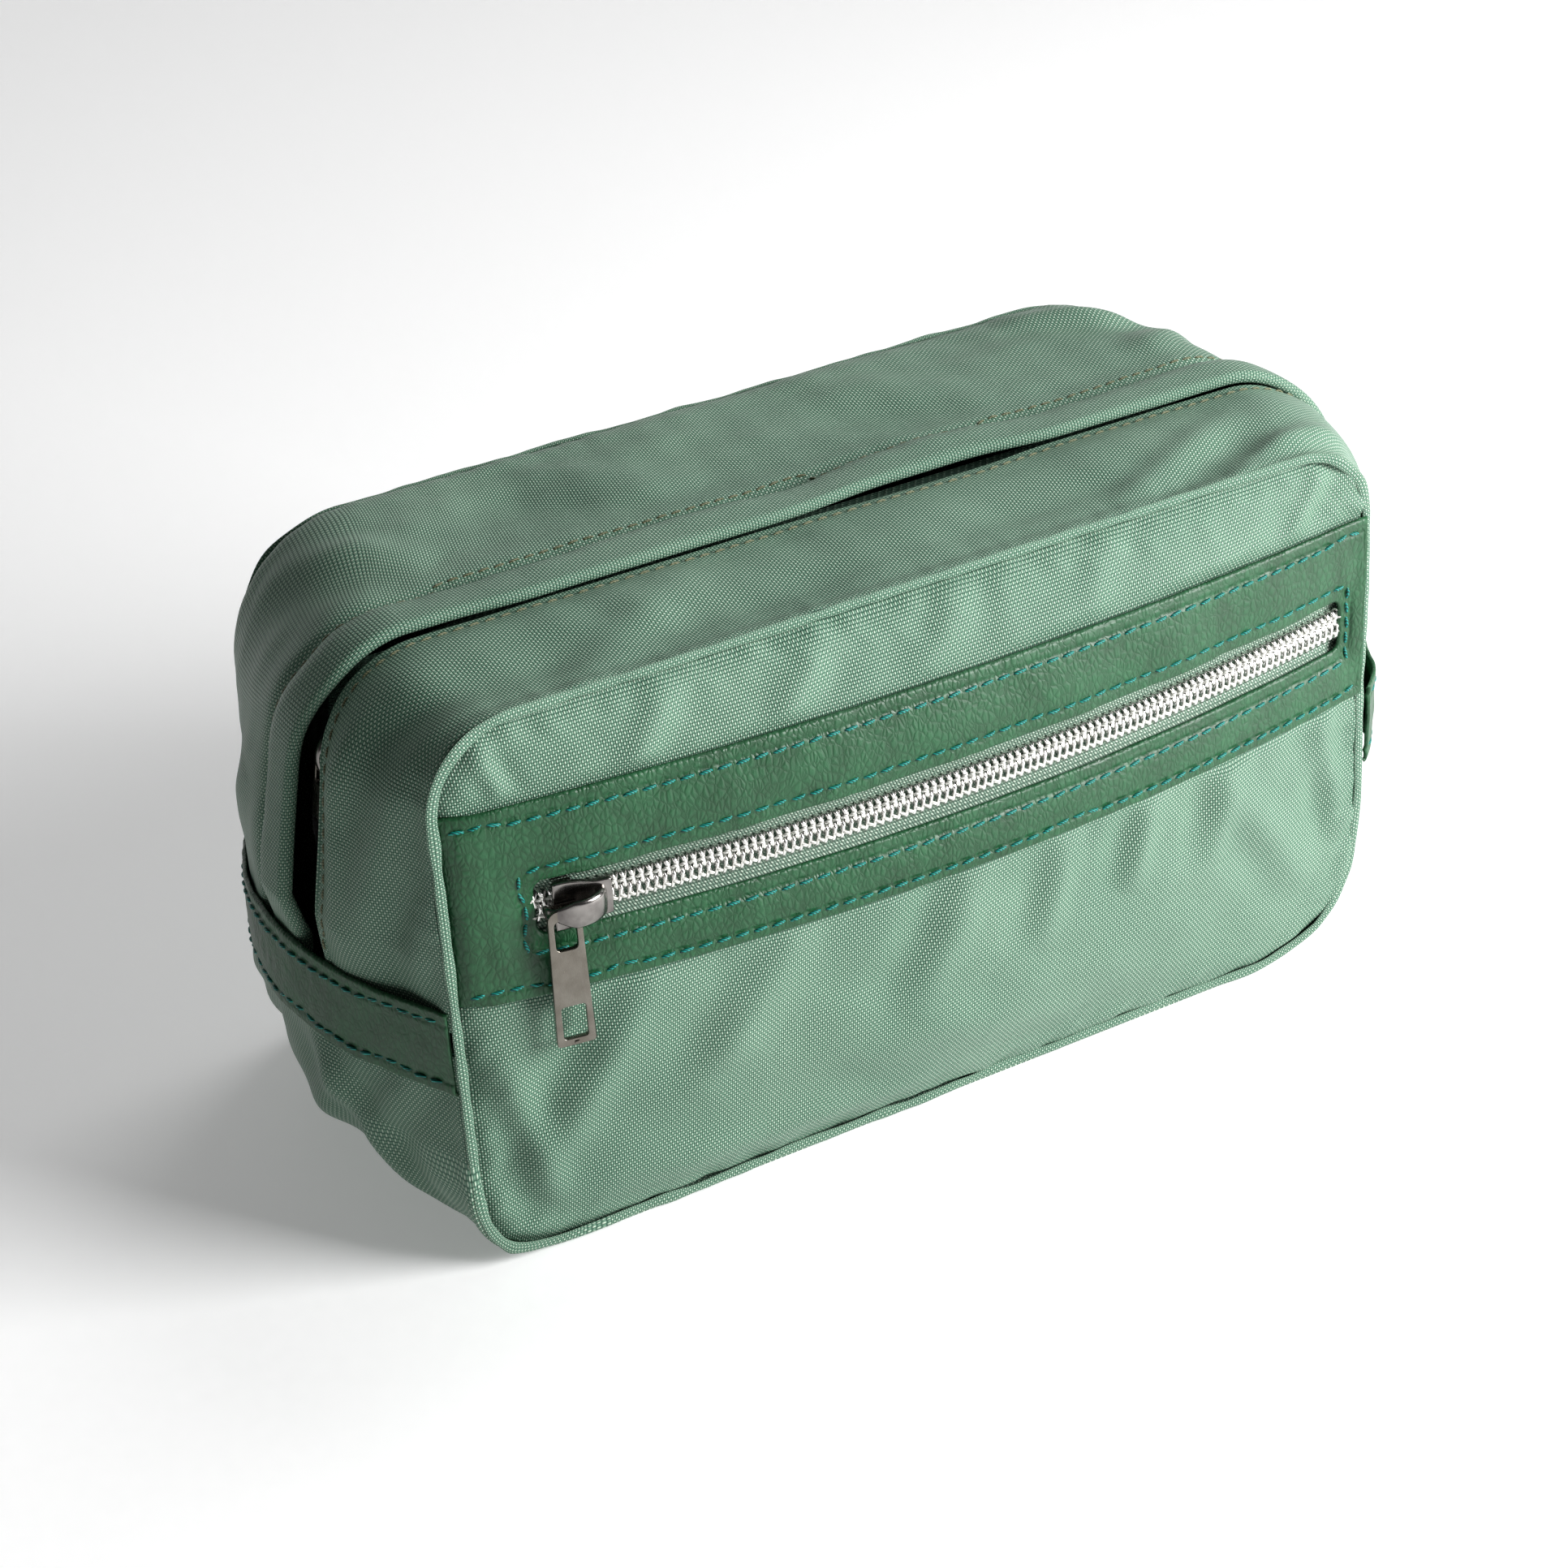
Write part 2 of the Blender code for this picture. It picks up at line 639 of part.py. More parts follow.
def make_threads():
    out = GAP + LEATHER + GAP + THREAD_RADIUS
    half = WIDTH / 2 - PANEL_INSET - 1.5 * MM
    for name, z in (("facing_thread_upper", FACING_TOP - THREAD_INSET),
                    ("facing_thread_lower", FACING_BASE + THREAD_INSET)):
        tube(name, "teal_thread", [front(x, z, out) for x in spread(-half, half, 24)],
             THREAD_RADIUS)
    low = WINDOW_Z - WINDOW_HALF - WINDOW_STITCH
    high = WINDOW_Z + WINDOW_HALF + WINDOW_STITCH
    left = WINDOW_LEFT - WINDOW_STITCH
    right = WINDOW_RIGHT + 0.8 * MM
    loop = [(x, high) for x in spread(left, right, 22)]
    loop += [(right, WINDOW_Z)] + [(x, low) for x in spread(right, left, 22)]
    loop += [(left, WINDOW_Z)]
    tube("window_thread", "teal_thread", [front(x, z, out) for x, z in loop],
         THREAD_RADIUS, True)
    edge = DEPTH / 2 - GUSSET_EDGE - 1.0 * MM
    for side, name in (("L", "left"), ("R", "right")):
        for end, z in (("upper", END_BAND_TOP - THREAD_INSET),
                       ("lower", END_BAND_BASE + THREAD_INSET)):
            points = [gusset((side, z), y, -out) for y in spread(-edge, edge, 20)]
            tube(name + "_band_thread_" + end, "teal_thread", points, THREAD_RADIUS)
    high = SPLIT_DEGREES + SPLIT_CLEARANCE
    low = SPLIT_DEGREES - SPLIT_CLEARANCE
    lift = GAP + THREAD_RADIUS
    for sign, name, inset in ((-1, "front", FRONT_LIP_STITCH),
                              (1, "back", BACK_LIP_STITCH)):
        def stitched(station):
            y = MAIN_ZIP_Y + sign * (lip_gap(station) + inset)
            return gusset(station, y, -lift)
        tube(name + "_lip_thread_top", "olive_thread",
             [stitched(s) for s in over_top(high)], THREAD_RADIUS)
        for side, end in (("L", "left"), ("R", "right")):
            rows = side_up(side, END_BAND_TOP + 1.5 * MM, HEIGHT - TOP_RADIUS, low)
            tube(name + "_lip_thread_" + end, "olive_thread",
                 [stitched(s) for s in rows], THREAD_RADIUS)


# ---- sliders and pulls ------------------------------------------------------------

def slider_half(x, wide=SLIDER_NOSE, narrow=SLIDER_TAIL):
    """The plates narrow from the open end at -X to the closed end at +X."""
    share = (x + SLIDER_LENGTH / 2) / SLIDER_LENGTH
    return (wide + (narrow - wide) * max(0.0, share) ** 2) / 2


def plate_outline():
    half = SLIDER_LENGTH / 2
    xs = [x * MM for x in (-6.5, -6.1, -4, -1, 2, 4.5, 6.1, 6.5)]
    upper = []
    for x in xs:
        width = slider_half(x)
        if abs(x) > half - 0.2 * MM:
            width -= 0.8 * MM
        upper.append((x, width))
    return [(x, -w) for x, w in upper] + [(x, w) for x, w in reversed(upper)]


def make_slider(prefix, matrix, turn_crown, shift=0.0):
    """Body: two plates joined by a post. Local X is the travel, Y across, Z outward."""
    middle = PLATE_LOW + PLATE / 2
    upper = plate_mesh(prefix + "_slider_body", [plate_outline()], PLATE,
                       Matrix.Translation((0, 0, middle)))
    lower = plate_mesh(prefix + "_slider_lower", [plate_outline()], PLATE,
                       Matrix.Translation((0, 0, -middle)))
    body = add(prefix + "_slider_body", "slider", upper)
    body.matrix_world = matrix
    second = cutter(prefix + "_slider_lower", lower)
    second.matrix_world = matrix
    half = SLIDER_LENGTH / 2
    pieces = [((-3.5 * MM, -POST / 2, -PLATE_LOW - PLATE / 2),
               (3.5 * MM, POST / 2, PLATE_LOW + PLATE / 2))]
    for side in (1, -1):
        for z in (1, -1):
            inner = TAPE_START * side
            outer = (TAPE_START + FLANGE) * side
            low = FLANGE_LOW * z
            top = (PLATE_LOW + PLATE / 2) * z
            pieces.append(((-half + 0.6 * MM, min(inner, outer), min(low, top)),
                           (-0.5 * MM, max(inner, outer), max(low, top))))
    for index, (low, high) in enumerate(pieces):
        name = prefix + "_slider_rib_" + str(index)
        rib = cutter(name, mesh_of_block(name, low, high))
        rib.matrix_world = matrix
        boolean(body, rib, "UNION")
    boolean(body, second, "UNION")

    base = PLATE_LOW + PLATE + GAP / 3
    top = base + CROWN_HEIGHT
    span = CROWN_SPAN / 2
    inner = span - CROWN_LEG
    arch = [(-span, base), (-inner, base), (-inner, top - CROWN_BEAM),
            (inner, top - CROWN_BEAM), (inner, base), (span, base),
            (span, top - 0.8 * MM), (inner, top), (-inner, top), (-span, top - 0.8 * MM)]
    crown = plate(prefix + "_slider_crown", "slider", [arch], CROWN_LENGTH)
    upright = Matrix.Rotation(math.radians(90), 4, "X")
    if turn_crown:
        upright = Matrix.Rotation(math.radians(90), 4, "Z") @ upright
    crown.matrix_world = matrix @ Matrix.Translation((shift, 0, 0)) @ upright

    low = PLATE_LOW + PLATE + GAP
    reach = 3.0 * MM
    size = (reach, inner - GAP) if turn_crown else (inner - GAP, reach)
    spring = add(prefix + "_lock_spring", "slider",
                 mesh_of_block(prefix + "_lock_spring", (-size[0], -size[1], low),
                               (size[0], size[1], low + SPRING)))
    spring.matrix_world = matrix @ Matrix.Translation((shift, 0, 0))


def make_pull(node, matrix, length, top_width, end_width):
    """A flat tab in local XY: pivot bar on the X axis, hanging to -Y."""
    upper = PULL_BAR / 2
    side = 1.0 * MM
    end = -length + upper
    outer = [(-top_width / 2, upper - 0.5 * MM), (-top_width / 2 + 0.5 * MM, upper),
             (top_width / 2 - 0.5 * MM, upper), (top_width / 2, upper - 0.5 * MM),
             (end_width / 2, end + 0.8 * MM), (end_width / 2 - 0.8 * MM, end),
             (-end_width / 2 + 0.8 * MM, end), (-end_width / 2, end + 0.8 * MM)]
    share = length / (29 * MM)
    eye = rounded(-top_width / 2 + side, top_width / 2 - side,
                  -upper - 6.2 * MM * min(1.0, share + 0.25), -upper, 0.8 * MM)
    outlines = [outer, eye]
    if length > 20 * MM:
        outlines.append(rounded(-end_width / 2 + 1.3 * MM, end_width / 2 - 1.3 * MM,
                                end + 1.3 * MM, end + 8.5 * MM, 0.5 * MM))
    pull = plate(node, "pull", outlines, PULL_THICKNESS)
    pull.matrix_world = matrix
    return pull


POCKET_PULL_LENGTH = 29.0 * MM
POCKET_PULL_TOP = 6.8 * MM
POCKET_PULL_END = 7.8 * MM
MAIN_PULL_LENGTH = 14.0 * MM
MAIN_PULL_TOP = 6.0 * MM
MAIN_PULL_END = 6.2 * MM


def frame(origin, x_axis, y_axis):
    z_axis = x_axis.cross(y_axis)
    matrix = Matrix((x_axis, y_axis, z_axis)).transposed().to_4x4()
    matrix.translation = origin
    return matrix


def make_sliders():
    angle = math.asin(POCKET_SLIDER_X / PLAN_RADIUS)
    axis_y = -DEPTH / 2 - BAND_BOW + PLAN_RADIUS
    pivot = bpy.data.objects.new("pocket_arc_centre", None)
    PARTS.objects.link(pivot)
    pivot.location = placed(0, axis_y, WINDOW_Z)
    along = Vector((math.cos(angle), math.sin(angle), 0))
    outward = Vector((math.sin(angle), -math.cos(angle), 0))
    up = Vector((0, 0, 1))
    chain = placed(0, axis_y, WINDOW_Z) + outward * (PLAN_RADIUS - POCKET_CHAIN_DEPTH)
    make_slider("pocket", frame(chain, along, up), True, POCKET_CROWN_SHIFT)
    hinge = chain + outward * PIVOT + along * POCKET_CROWN_SHIFT
    make_pull("pocket_pull", frame(hinge, along, up), POCKET_PULL_LENGTH,
              POCKET_PULL_TOP, POCKET_PULL_END)

    high = gusset(("L", 100 * MM), MAIN_ZIP_Y, MAIN_CHAIN_DEPTH, flat_y=MAIN_ZIP_Y)
    low = gusset(("L", 70 * MM), MAIN_ZIP_Y, MAIN_CHAIN_DEPTH, flat_y=MAIN_ZIP_Y)
    down = (low - high).normalized()
    share = (100 * MM - MAIN_SLIDER_Z) / (30 * MM)
    chain = high + (low - high) * share
    across = Vector((0, 1, 0))
    outward = (-down).cross(across)
    make_slider("main", frame(chain, -down, across), False)
    hinge = chain + outward * PIVOT
    make_pull("main_pull", frame(hinge, -across, -down), MAIN_PULL_LENGTH,
              MAIN_PULL_TOP, MAIN_PULL_END)
    for obj in list(PARTS.objects):
        if obj.name.startswith("pocket_slider") or obj.name == "pocket_lock_spring":
            world = obj.matrix_world.copy()
            obj.parent = pivot
            obj.matrix_parent_inverse = Matrix.Translation(-pivot.location)
            obj.matrix_world = world


clear_scene()
PARTS = collection("wash_bag")
CUTTERS = collection("wash_bag_cutters")
make_panels()
make_gusset()
make_lips()
make_main_zip()
make_pocket_zip()
make_pouch()
make_tub()
make_bindings()
make_threads()
make_sliders()
for part in PARTS.objects:
    if part.type == "MESH":
        part.data.shade_smooth()
        part.data.set_sharp_from_angle(angle=math.radians(35))
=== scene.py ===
# %% [markdown]
# # A soft wash bag with two zips
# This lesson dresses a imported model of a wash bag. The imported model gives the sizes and
# the moving bodies, and each cell here makes one piece as it looks: woven cloth, grained
# leather, stitches, coil zips, sliders and pulls.

# %% Load the frame
import json
import math
from functools import partial

import bpy
import numpy as np
from mathutils import Matrix, Vector

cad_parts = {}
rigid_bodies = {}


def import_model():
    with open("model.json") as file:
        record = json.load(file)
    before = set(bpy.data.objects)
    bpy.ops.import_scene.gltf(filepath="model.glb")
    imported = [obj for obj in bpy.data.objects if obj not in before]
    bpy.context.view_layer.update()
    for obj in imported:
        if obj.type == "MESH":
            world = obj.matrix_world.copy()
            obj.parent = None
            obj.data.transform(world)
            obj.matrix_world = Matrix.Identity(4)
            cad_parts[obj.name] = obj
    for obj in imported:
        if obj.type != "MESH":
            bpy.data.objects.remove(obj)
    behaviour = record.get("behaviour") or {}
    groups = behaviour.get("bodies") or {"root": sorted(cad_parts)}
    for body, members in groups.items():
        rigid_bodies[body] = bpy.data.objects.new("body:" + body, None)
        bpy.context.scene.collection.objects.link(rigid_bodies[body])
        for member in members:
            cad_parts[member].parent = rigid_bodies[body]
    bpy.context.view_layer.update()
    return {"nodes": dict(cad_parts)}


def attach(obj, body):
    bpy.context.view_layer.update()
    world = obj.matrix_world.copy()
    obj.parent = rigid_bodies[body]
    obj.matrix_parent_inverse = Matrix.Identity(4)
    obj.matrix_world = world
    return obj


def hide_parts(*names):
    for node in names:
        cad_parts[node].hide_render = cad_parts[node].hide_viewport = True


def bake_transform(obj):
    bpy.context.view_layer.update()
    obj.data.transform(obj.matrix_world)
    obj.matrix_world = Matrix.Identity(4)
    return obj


for leftover in [o for o in bpy.data.objects if o.name in ("Cube", "Camera", "Light")]:
    bpy.data.objects.remove(leftover)
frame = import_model()

# %% [markdown]
# ## Sizes
# All shapes below are thought of in millimetres, in the frame of the sewn seams: x along
# the bag from its middle, y back from the middle of its depth, z up from the base. One
# function turns them into the model's metres.

# %% Sizes of the bag
WIDTH, HEIGHT, DEPTH = 200.0, 115.0, 94.0
TOP_R, BASE_R = 17.0, 25.0
SHIFT_X, SHIFT_Y = 4.58, -2.498
FRONT_BOW, BACK_BOW, BAND_BOW = 11.0, 8.0, 10.59
SLUMP, SQUARE = 8.0, 0.4
PLAN_R = ((WIDTH / 2) ** 2 + BAND_BOW ** 2) / (2 * BAND_BOW)
ZIP_Y = -13.5
CHAIN_DEPTH = 5.6
LEFT_BOW = ((0, 22, 42, 66, 115), (8.0, 13.0, 15.5, 14.0, 4.25))
RIGHT_BOW = ((0, 22, 42, 60, 90, 115), (8.0, 14.0, 21.0, 23.5, 17.5, 9.0))
WINDOW = (-83.5, 93.5, 71.2, 82.0)
BAND_LOW, BAND_HIGH, BAND_END = 59.1, 98.7, 99.4
END_LOW, END_HIGH = 41.3, 59.1
WINDOW_R, STITCH_IN = 2.0, 2.6
SIDE_RUN, TOP_RUN, BASE_FLAT = 73.0, 166.0, 150.0
BASE_RUN = 25 + 39.27 + BASE_FLAT + 39.27 + 25
RIGHT_FOOT = 292.4 + 98
LIP_START, LIP_END = 30.0, 335.4
LIP_RADIUS = {"front": 0.8, "back": 1.35}


def metres(p):
    """Millimetres in the seam frame to metres in the model's frame."""
    p = np.asarray(p, float)
    return (p - np.array([SHIFT_X, SHIFT_Y, 0.0])) * 0.001


print("plan radius of the pocket zip, mm:", round(PLAN_R, 1))

# %% [markdown]
# ## The filled shape
# A soft bag bows out between its seams. Four small functions hold that shape: the
# outline seen from the front, how far each end bows, and the front's own bow. Every
# piece of cloth is laid on them, so neighbours always meet.

# %% Functions of the filled shape
HEIGHTS = np.arange(0, 116.0, 1.0)


def soft_table(table):
    """A bow table with its corners rounded, as cloth rounds them."""
    raw = np.interp(np.arange(-20, 136.0), table[0], table[1])
    weights = np.exp(-(np.arange(-16, 17) / 6.0) ** 2)
    return np.convolve(raw, weights / weights.sum(), mode="same")[20:136]


BOWS = {-1: soft_table(LEFT_BOW), 1: soft_table(RIGHT_BOW)}


def ring(s, inset=0.0, r_top=None, bend=1.0):
    """The outline at s mm, from the left base corner's end up, over and round.

    A bend below 1 makes the left base corner squarer."""
    s = np.asarray(s, float)
    inset = np.asarray(inset, float) + 0 * s
    half, top = WIDTH / 2 - inset, HEIGHT - inset
    rt = TOP_R - inset if r_top is None else r_top + 0 * s
    rb = BASE_R - inset
    top_arc, base_arc = TOP_R * math.pi / 2, BASE_R * math.pi / 2
    lengths = [SIDE_RUN, top_arc, TOP_RUN, top_arc, SIDE_RUN, base_arc, BASE_FLAT, base_arc]
    ends = np.cumsum(lengths)
    s = np.mod(s, ends[-1])
    part = np.minimum(np.searchsorted(ends, s, side="right"), 7)
    f = (s - (ends - lengths)[part]) / np.array(lengths)[part]
    a = f * math.pi / 2
    c, n = np.cos(a), np.sin(a)
    square_c, square_n = np.abs(c) ** bend, np.abs(n) ** bend
    zs = BASE_R + f * (top - rt - BASE_R)
    xs = [-half, -(half - rt) - rt * c, (2 * f - 1) * (half - rt), half - rt + rt * n,
          half, half - rb + rb * c, (1 - 2 * f) * (half - rb),
          -(half - rb) - rb * square_n]
    ys = [zs, top - rt + rt * n, top, top - rt + rt * c, BASE_R + top - rt - zs,
          inset + rb - rb * n, inset, inset + rb - rb * square_c]
    return tuple(np.choose(part, np.broadcast_arrays(*values)) for values in (xs, ys))


def corner(s, y):
    """Radius of the top corners; the left one slumps more towards the back."""
    share = np.clip((np.asarray(y, float) + 8) / 48, 0, 1) * (np.asarray(s, float) < 182)
    return TOP_R + SLUMP * share * share * (3 - 2 * share)


def gusset(s, y, out=0.0, r_top=None, flat_y=None):
    """A point of the strip that runs round the bag, out mm proud of the cloth."""
    if r_top is None:
        r_top = corner(s, y) + np.asarray(out, float)
    near = np.clip(0.8 - (np.asarray(y, float) + DEPTH / 2) / 60, 0, 0.8)
    x, z = ring(s, -np.asarray(out, float), r_top, 1 - SQUARE * near / 0.8)
    t = np.clip(((y if flat_y is None else flat_y) + DEPTH / 2) / DEPTH, 0, 1)
    left = np.interp(z, HEIGHTS, BOWS[-1])
    right = np.interp(z, HEIGHTS, BOWS[1])
    bow = np.where(x > 0, right, left) * 4 * t * (1 - t)
    return np.stack(np.broadcast_arrays(x * (1 + bow / 100), y + 0 * x, z), -1)


def plan(x):
    """Share of a panel's full bow at x, 1 in the middle."""
    x = np.clip(x, -WIDTH / 2, WIDTH / 2)
    return (np.sqrt(PLAN_R ** 2 - x * x) - (PLAN_R - BAND_BOW)) / BAND_BOW


def rise(z):
    """Share of a panel's full bow at the height z."""
    return 1 - np.minimum(np.abs((z - HEIGHT / 2) / (HEIGHT / 2)), 1) ** 3


def inside(x, z, r_top=TOP_R, power=2.0):
    """Distance in from the outline's seam."""
    r = np.where(z > HEIGHT / 2, r_top, BASE_R)
    qx = np.abs(x) - (WIDTH / 2 - r)
    qz = np.abs(z - HEIGHT / 2) - (HEIGHT / 2 - r)
    power = np.where((x < 0) & (z < HEIGHT / 2), power, 2.0)
    outer = (np.maximum(qx, 0) ** power + np.maximum(qz, 0) ** power) ** (1 / power)
    return r - outer - np.minimum(np.maximum(qx, qz), 0)


def half_width(z, inset, r_top=TOP_R, power=2.0):
    """Half of the panel's width at the height z, inset mm inside the seam."""
    r = np.where(z > HEIGHT / 2, r_top, BASE_R) - inset
    edge = np.where(z > HEIGHT / 2, HEIGHT - r_top, BASE_R)
    drop = np.maximum(np.where(z > HEIGHT / 2, z - edge, edge - z), 0)
    power = np.where(z > HEIGHT / 2, 2.0, power)
    share = np.clip(1 - (np.minimum(drop / r, 1)) ** power, 0, 1) ** (1 / power)
    return WIDTH / 2 - inset - r + r * share


def front(x, z, out=0.0):
    """A point of the front, which dips where it meets the seam."""
    deep = 1.9 - 2.3 * np.clip((x - 88) / 8, 0, 1)
    dip = deep * np.exp(-(inside(x, z, TOP_R, 2 / (1 - SQUARE)) / 2.6) ** 2)
    y = -DEPTH / 2 - FRONT_BOW * plan(x) * rise(z) - out + dip
    return np.stack(np.broadcast_arrays(x, y, z), -1)


def back(x, z, out=0.0):
    """A point of the back, with its own bow and dip."""
    dip = 1.7 * np.exp(-(inside(x, z, np.where(x < 0, TOP_R + SLUMP, TOP_R)) / 2.6) ** 2)
    y = DEPTH / 2 + BACK_BOW * plan(x) * rise(z) + out - dip
    return np.stack(np.broadcast_arrays(x, y, z), -1)


print("bow of the left end at mid height, mm:", round(float(BOWS[-1][57]), 1))

# %% [markdown]
# ## Uneven cloth
# Nothing sewn is even. A smooth noise made of a few sine waves moves cloth by tenths of
# a millimetre, and a fold is a ridge along a short line that fades at both ends. Both
# give the same result on every run.

# %% Ripples and folds
def ripple(a, b, scale, seed):
    """Smooth noise between about -1 and 1, with bumps about scale mm long."""
    rng = np.random.default_rng(seed)
    total = 0
    for _ in range(9):
        angle, phase = rng.uniform(0, 2 * math.pi, 2)
        k = 2 * math.pi / (scale * rng.uniform(0.7, 1.8))
        total = total + np.sin(k * (a * math.cos(angle) + b * math.sin(angle)) + phase)
    return total / 4.5


def fold(a, b, line, width, height):
    """A ridge from one point to another, in the cloth's own two directions."""
    (a0, b0), (a1, b1) = line
    length = math.hypot(a1 - a0, b1 - b0)
    ua, ub = (a1 - a0) / length, (b1 - b0) / length
    along = (a - a0) * ua + (b - b0) * ub
    across = (a - a0) * ub - (b - b0) * ua
    fade = np.clip(along / length, 0, 1)
    shape = np.sin(np.pi * fade) ** 0.8 * ((along > 0) & (along < length))
    hollow = 0.55 * np.exp(-((across - 1.7 * width) / width) ** 2)
    return height * shape * (np.exp(-(across / width) ** 2) - hollow)


def folds(a, b, lines):
    return sum(fold(a, b, *line) for line in lines)


# %% [markdown]
# ## From a grid to a piece of cloth
# Cloth starts as Blender's grid. Each of its points has a place u, v from 0 to 1, and a
# function says where that place lies on the bag. The normals of the laid grid carry the
# ripples, a UV map in hundredths of a metre follows the yarns, and Solidify gives the
# cloth its thickness.

# %% Helpers for laid grids
def deselect():
    bpy.ops.object.select_all(action="DESELECT")


def only(obj):
    """Selects one object alone and makes it the active one."""
    deselect()
    obj.select_set(True)
    bpy.context.view_layer.objects.active = obj


def grid(columns, rows):
    """Blender's grid, 2 units wide, and its points."""
    deselect()
    bpy.ops.mesh.primitive_grid_add(x_subdivisions=columns, y_subdivisions=rows, size=2)
    return bpy.context.object, read_points(bpy.context.object)


def read_points(obj):
    co = np.empty(len(obj.data.vertices) * 3)
    obj.data.vertices.foreach_get("co", co)
    return co.reshape(-1, 3)


def write_points(obj, points):
    obj.data.vertices.foreach_set("co", np.ascontiguousarray(points, float).ravel())
    obj.data.update()


def finish_mesh(obj, name, paint, angle=180.0):
    obj.name = name
    obj.data.name = name
    obj.data.materials.clear()
    obj.data.materials.append(paint)
    only(obj)
    if angle < 180:
        bpy.ops.object.shade_smooth_by_angle(angle=math.radians(angle))
    else:
        bpy.ops.object.shade_smooth()
    return obj


def thicken(obj, thickness):
    """Gives a sheet its thickness in mm, inwards."""
    solid = obj.modifiers.new("thickness", "SOLIDIFY")
    solid.thickness, solid.offset = thickness * 0.001, -1
    only(obj)
    bpy.ops.object.modifier_apply(modifier=solid.name)


def weld(obj, distance=0.000004, outward=True):
    """Merges the points that lie on each other, and turns the faces outward."""
    only(obj)
    bpy.ops.object.mode_set(mode="EDIT")
    bpy.ops.mesh.select_all(action="SELECT")
    bpy.ops.mesh.remove_doubles(threshold=distance)
    if outward:
        bpy.ops.mesh.normals_make_consistent(inside=False)
    bpy.ops.object.mode_set(mode="OBJECT")


def laid(name, size, lay, paint, height, away, thickness, yarn=None):
    """A grid laid by lay(u, v) -> points in mm; height(u, v) moves it along its normal.

    The normals turn away from the point away; yarn(u, v) gives the weave's place in mm."""
    obj, co = grid(*size)
    u, v = (co[:, 0] + 1) / 2, (co[:, 1] + 1) / 2
    e = 1e-4
    base = lay(u, v)
    normal = np.cross(lay(u + e, v) - base, lay(u, v + e) - base)
    normal /= np.maximum(np.linalg.norm(normal, axis=1, keepdims=True), 1e-12)
    outward = np.sign(np.sum((base - np.array(away)) * normal, axis=1).mean()) or 1
    normal *= outward
    if height is not None:
        base = base + normal * height(u, v)[:, None]
    write_points(obj, metres(base))
    if outward < 0:
        obj.data.flip_normals()
    across, down = yarn(u, v) if yarn is not None else (u * 100, v * 100)
    store_uv(obj, np.stack([across, down], -1) / 100.0)
    if thickness:
        thicken(obj, thickness)
    return finish_mesh(obj, name, paint)


def store_uv(obj, uv):
    layer = obj.data.uv_layers.active or obj.data.uv_layers.new(name="UVMap")
    index = np.empty(len(obj.data.loops), int)
    obj.data.loops.foreach_get("vertex_index", index)
    layer.data.foreach_set("uv", np.ascontiguousarray(uv[index]).ravel())


def hinge(side, low=0.096, high=0.1122):
    """The bag's and the side's flap's names with two heights, as a tuple; claim only bakes a piece
    given it in place.
    """
    return "bag", side + "_flap", (0, 0, low), (0, 0, high)


def claim(obj, body, slot, *nodes):
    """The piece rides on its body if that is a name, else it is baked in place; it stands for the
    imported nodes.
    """
    if isinstance(body, str):
        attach(obj, body)
    else:
        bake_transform(obj)
    if nodes:
        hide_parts(*nodes)
    print(obj.name, len(obj.data.polygons), "faces")
    return obj


# %% [markdown]
# ## Materials
# A material here is a small net of nodes. The helper adds a node, sets its inputs and
# links whatever is a socket. Woven cloth is a chequer of over and under yarns, each a
# sine hump across its width; leather is a net of fine cells under a soft noise.

# %% Node helpers
def paint_of(name, roughness, metallic=0.0, **sockets):
    made = bpy.data.materials.new(name)
    made.use_nodes = True
    shader = made.node_tree.nodes["Principled BSDF"]
    shader.inputs["Roughness"].default_value = roughness
    shader.inputs["Metallic"].default_value = metallic
    for key, value in sockets.items():
        shader.inputs[key.replace("_", " ")].default_value = value
    return made


def add(paint, kind, values=(), **settings):
    """Adds a node, sets its properties, and fills its inputs in order."""
    made = paint.node_tree.nodes.new("ShaderNode" + kind)
    for key, value in settings.items():
        setattr(made, key, value)
    for socket, value in zip(made.inputs, values):
        if isinstance(value, bpy.types.NodeSocket):
            paint.node_tree.links.new(value, socket)
        elif value is not None:
            socket.default_value = value
    return made


def maths(paint, operation, *values):
    return add(paint, "Math", values, operation=operation).outputs[0]


def noise(paint, place, *values):
    """A noise with its scale, detail and roughness, and its factor as output."""
    return add(paint, "TexNoise", (place, None, *values)).outputs[0]


def stretched(paint, place, scale, turn=None):
    return add(paint, "Mapping", (place, None, turn, scale)).outputs[0]


def ramp(paint, factor, stops):
    node = add(paint, "ValToRGB", (factor,))
    elements = node.color_ramp.elements
    while len(elements) < len(stops):
        elements.new(0.5)
    for element, (place, colour) in zip(elements, stops):
        element.position = place
        element.color = (*colour, 1)
    return node.outputs[0]


def connect(paint, colour=None, height=None, strength=0.5, distance=0.0002, rough=None):
    tree = paint.node_tree
    shader = tree.nodes["Principled BSDF"]
    if colour is not None:
        tree.links.new(colour, shader.inputs["Base Color"])
    if rough is not None:
        tree.links.new(rough, shader.inputs["Roughness"])
    if height is not None:
        bump = add(paint, "Bump")
        bump.inputs["Strength"].default_value = strength
        bump.inputs["Distance"].default_value = distance
        tree.links.new(height, bump.inputs["Height"])
        tree.links.new(bump.outputs[0], shader.inputs["Normal"])


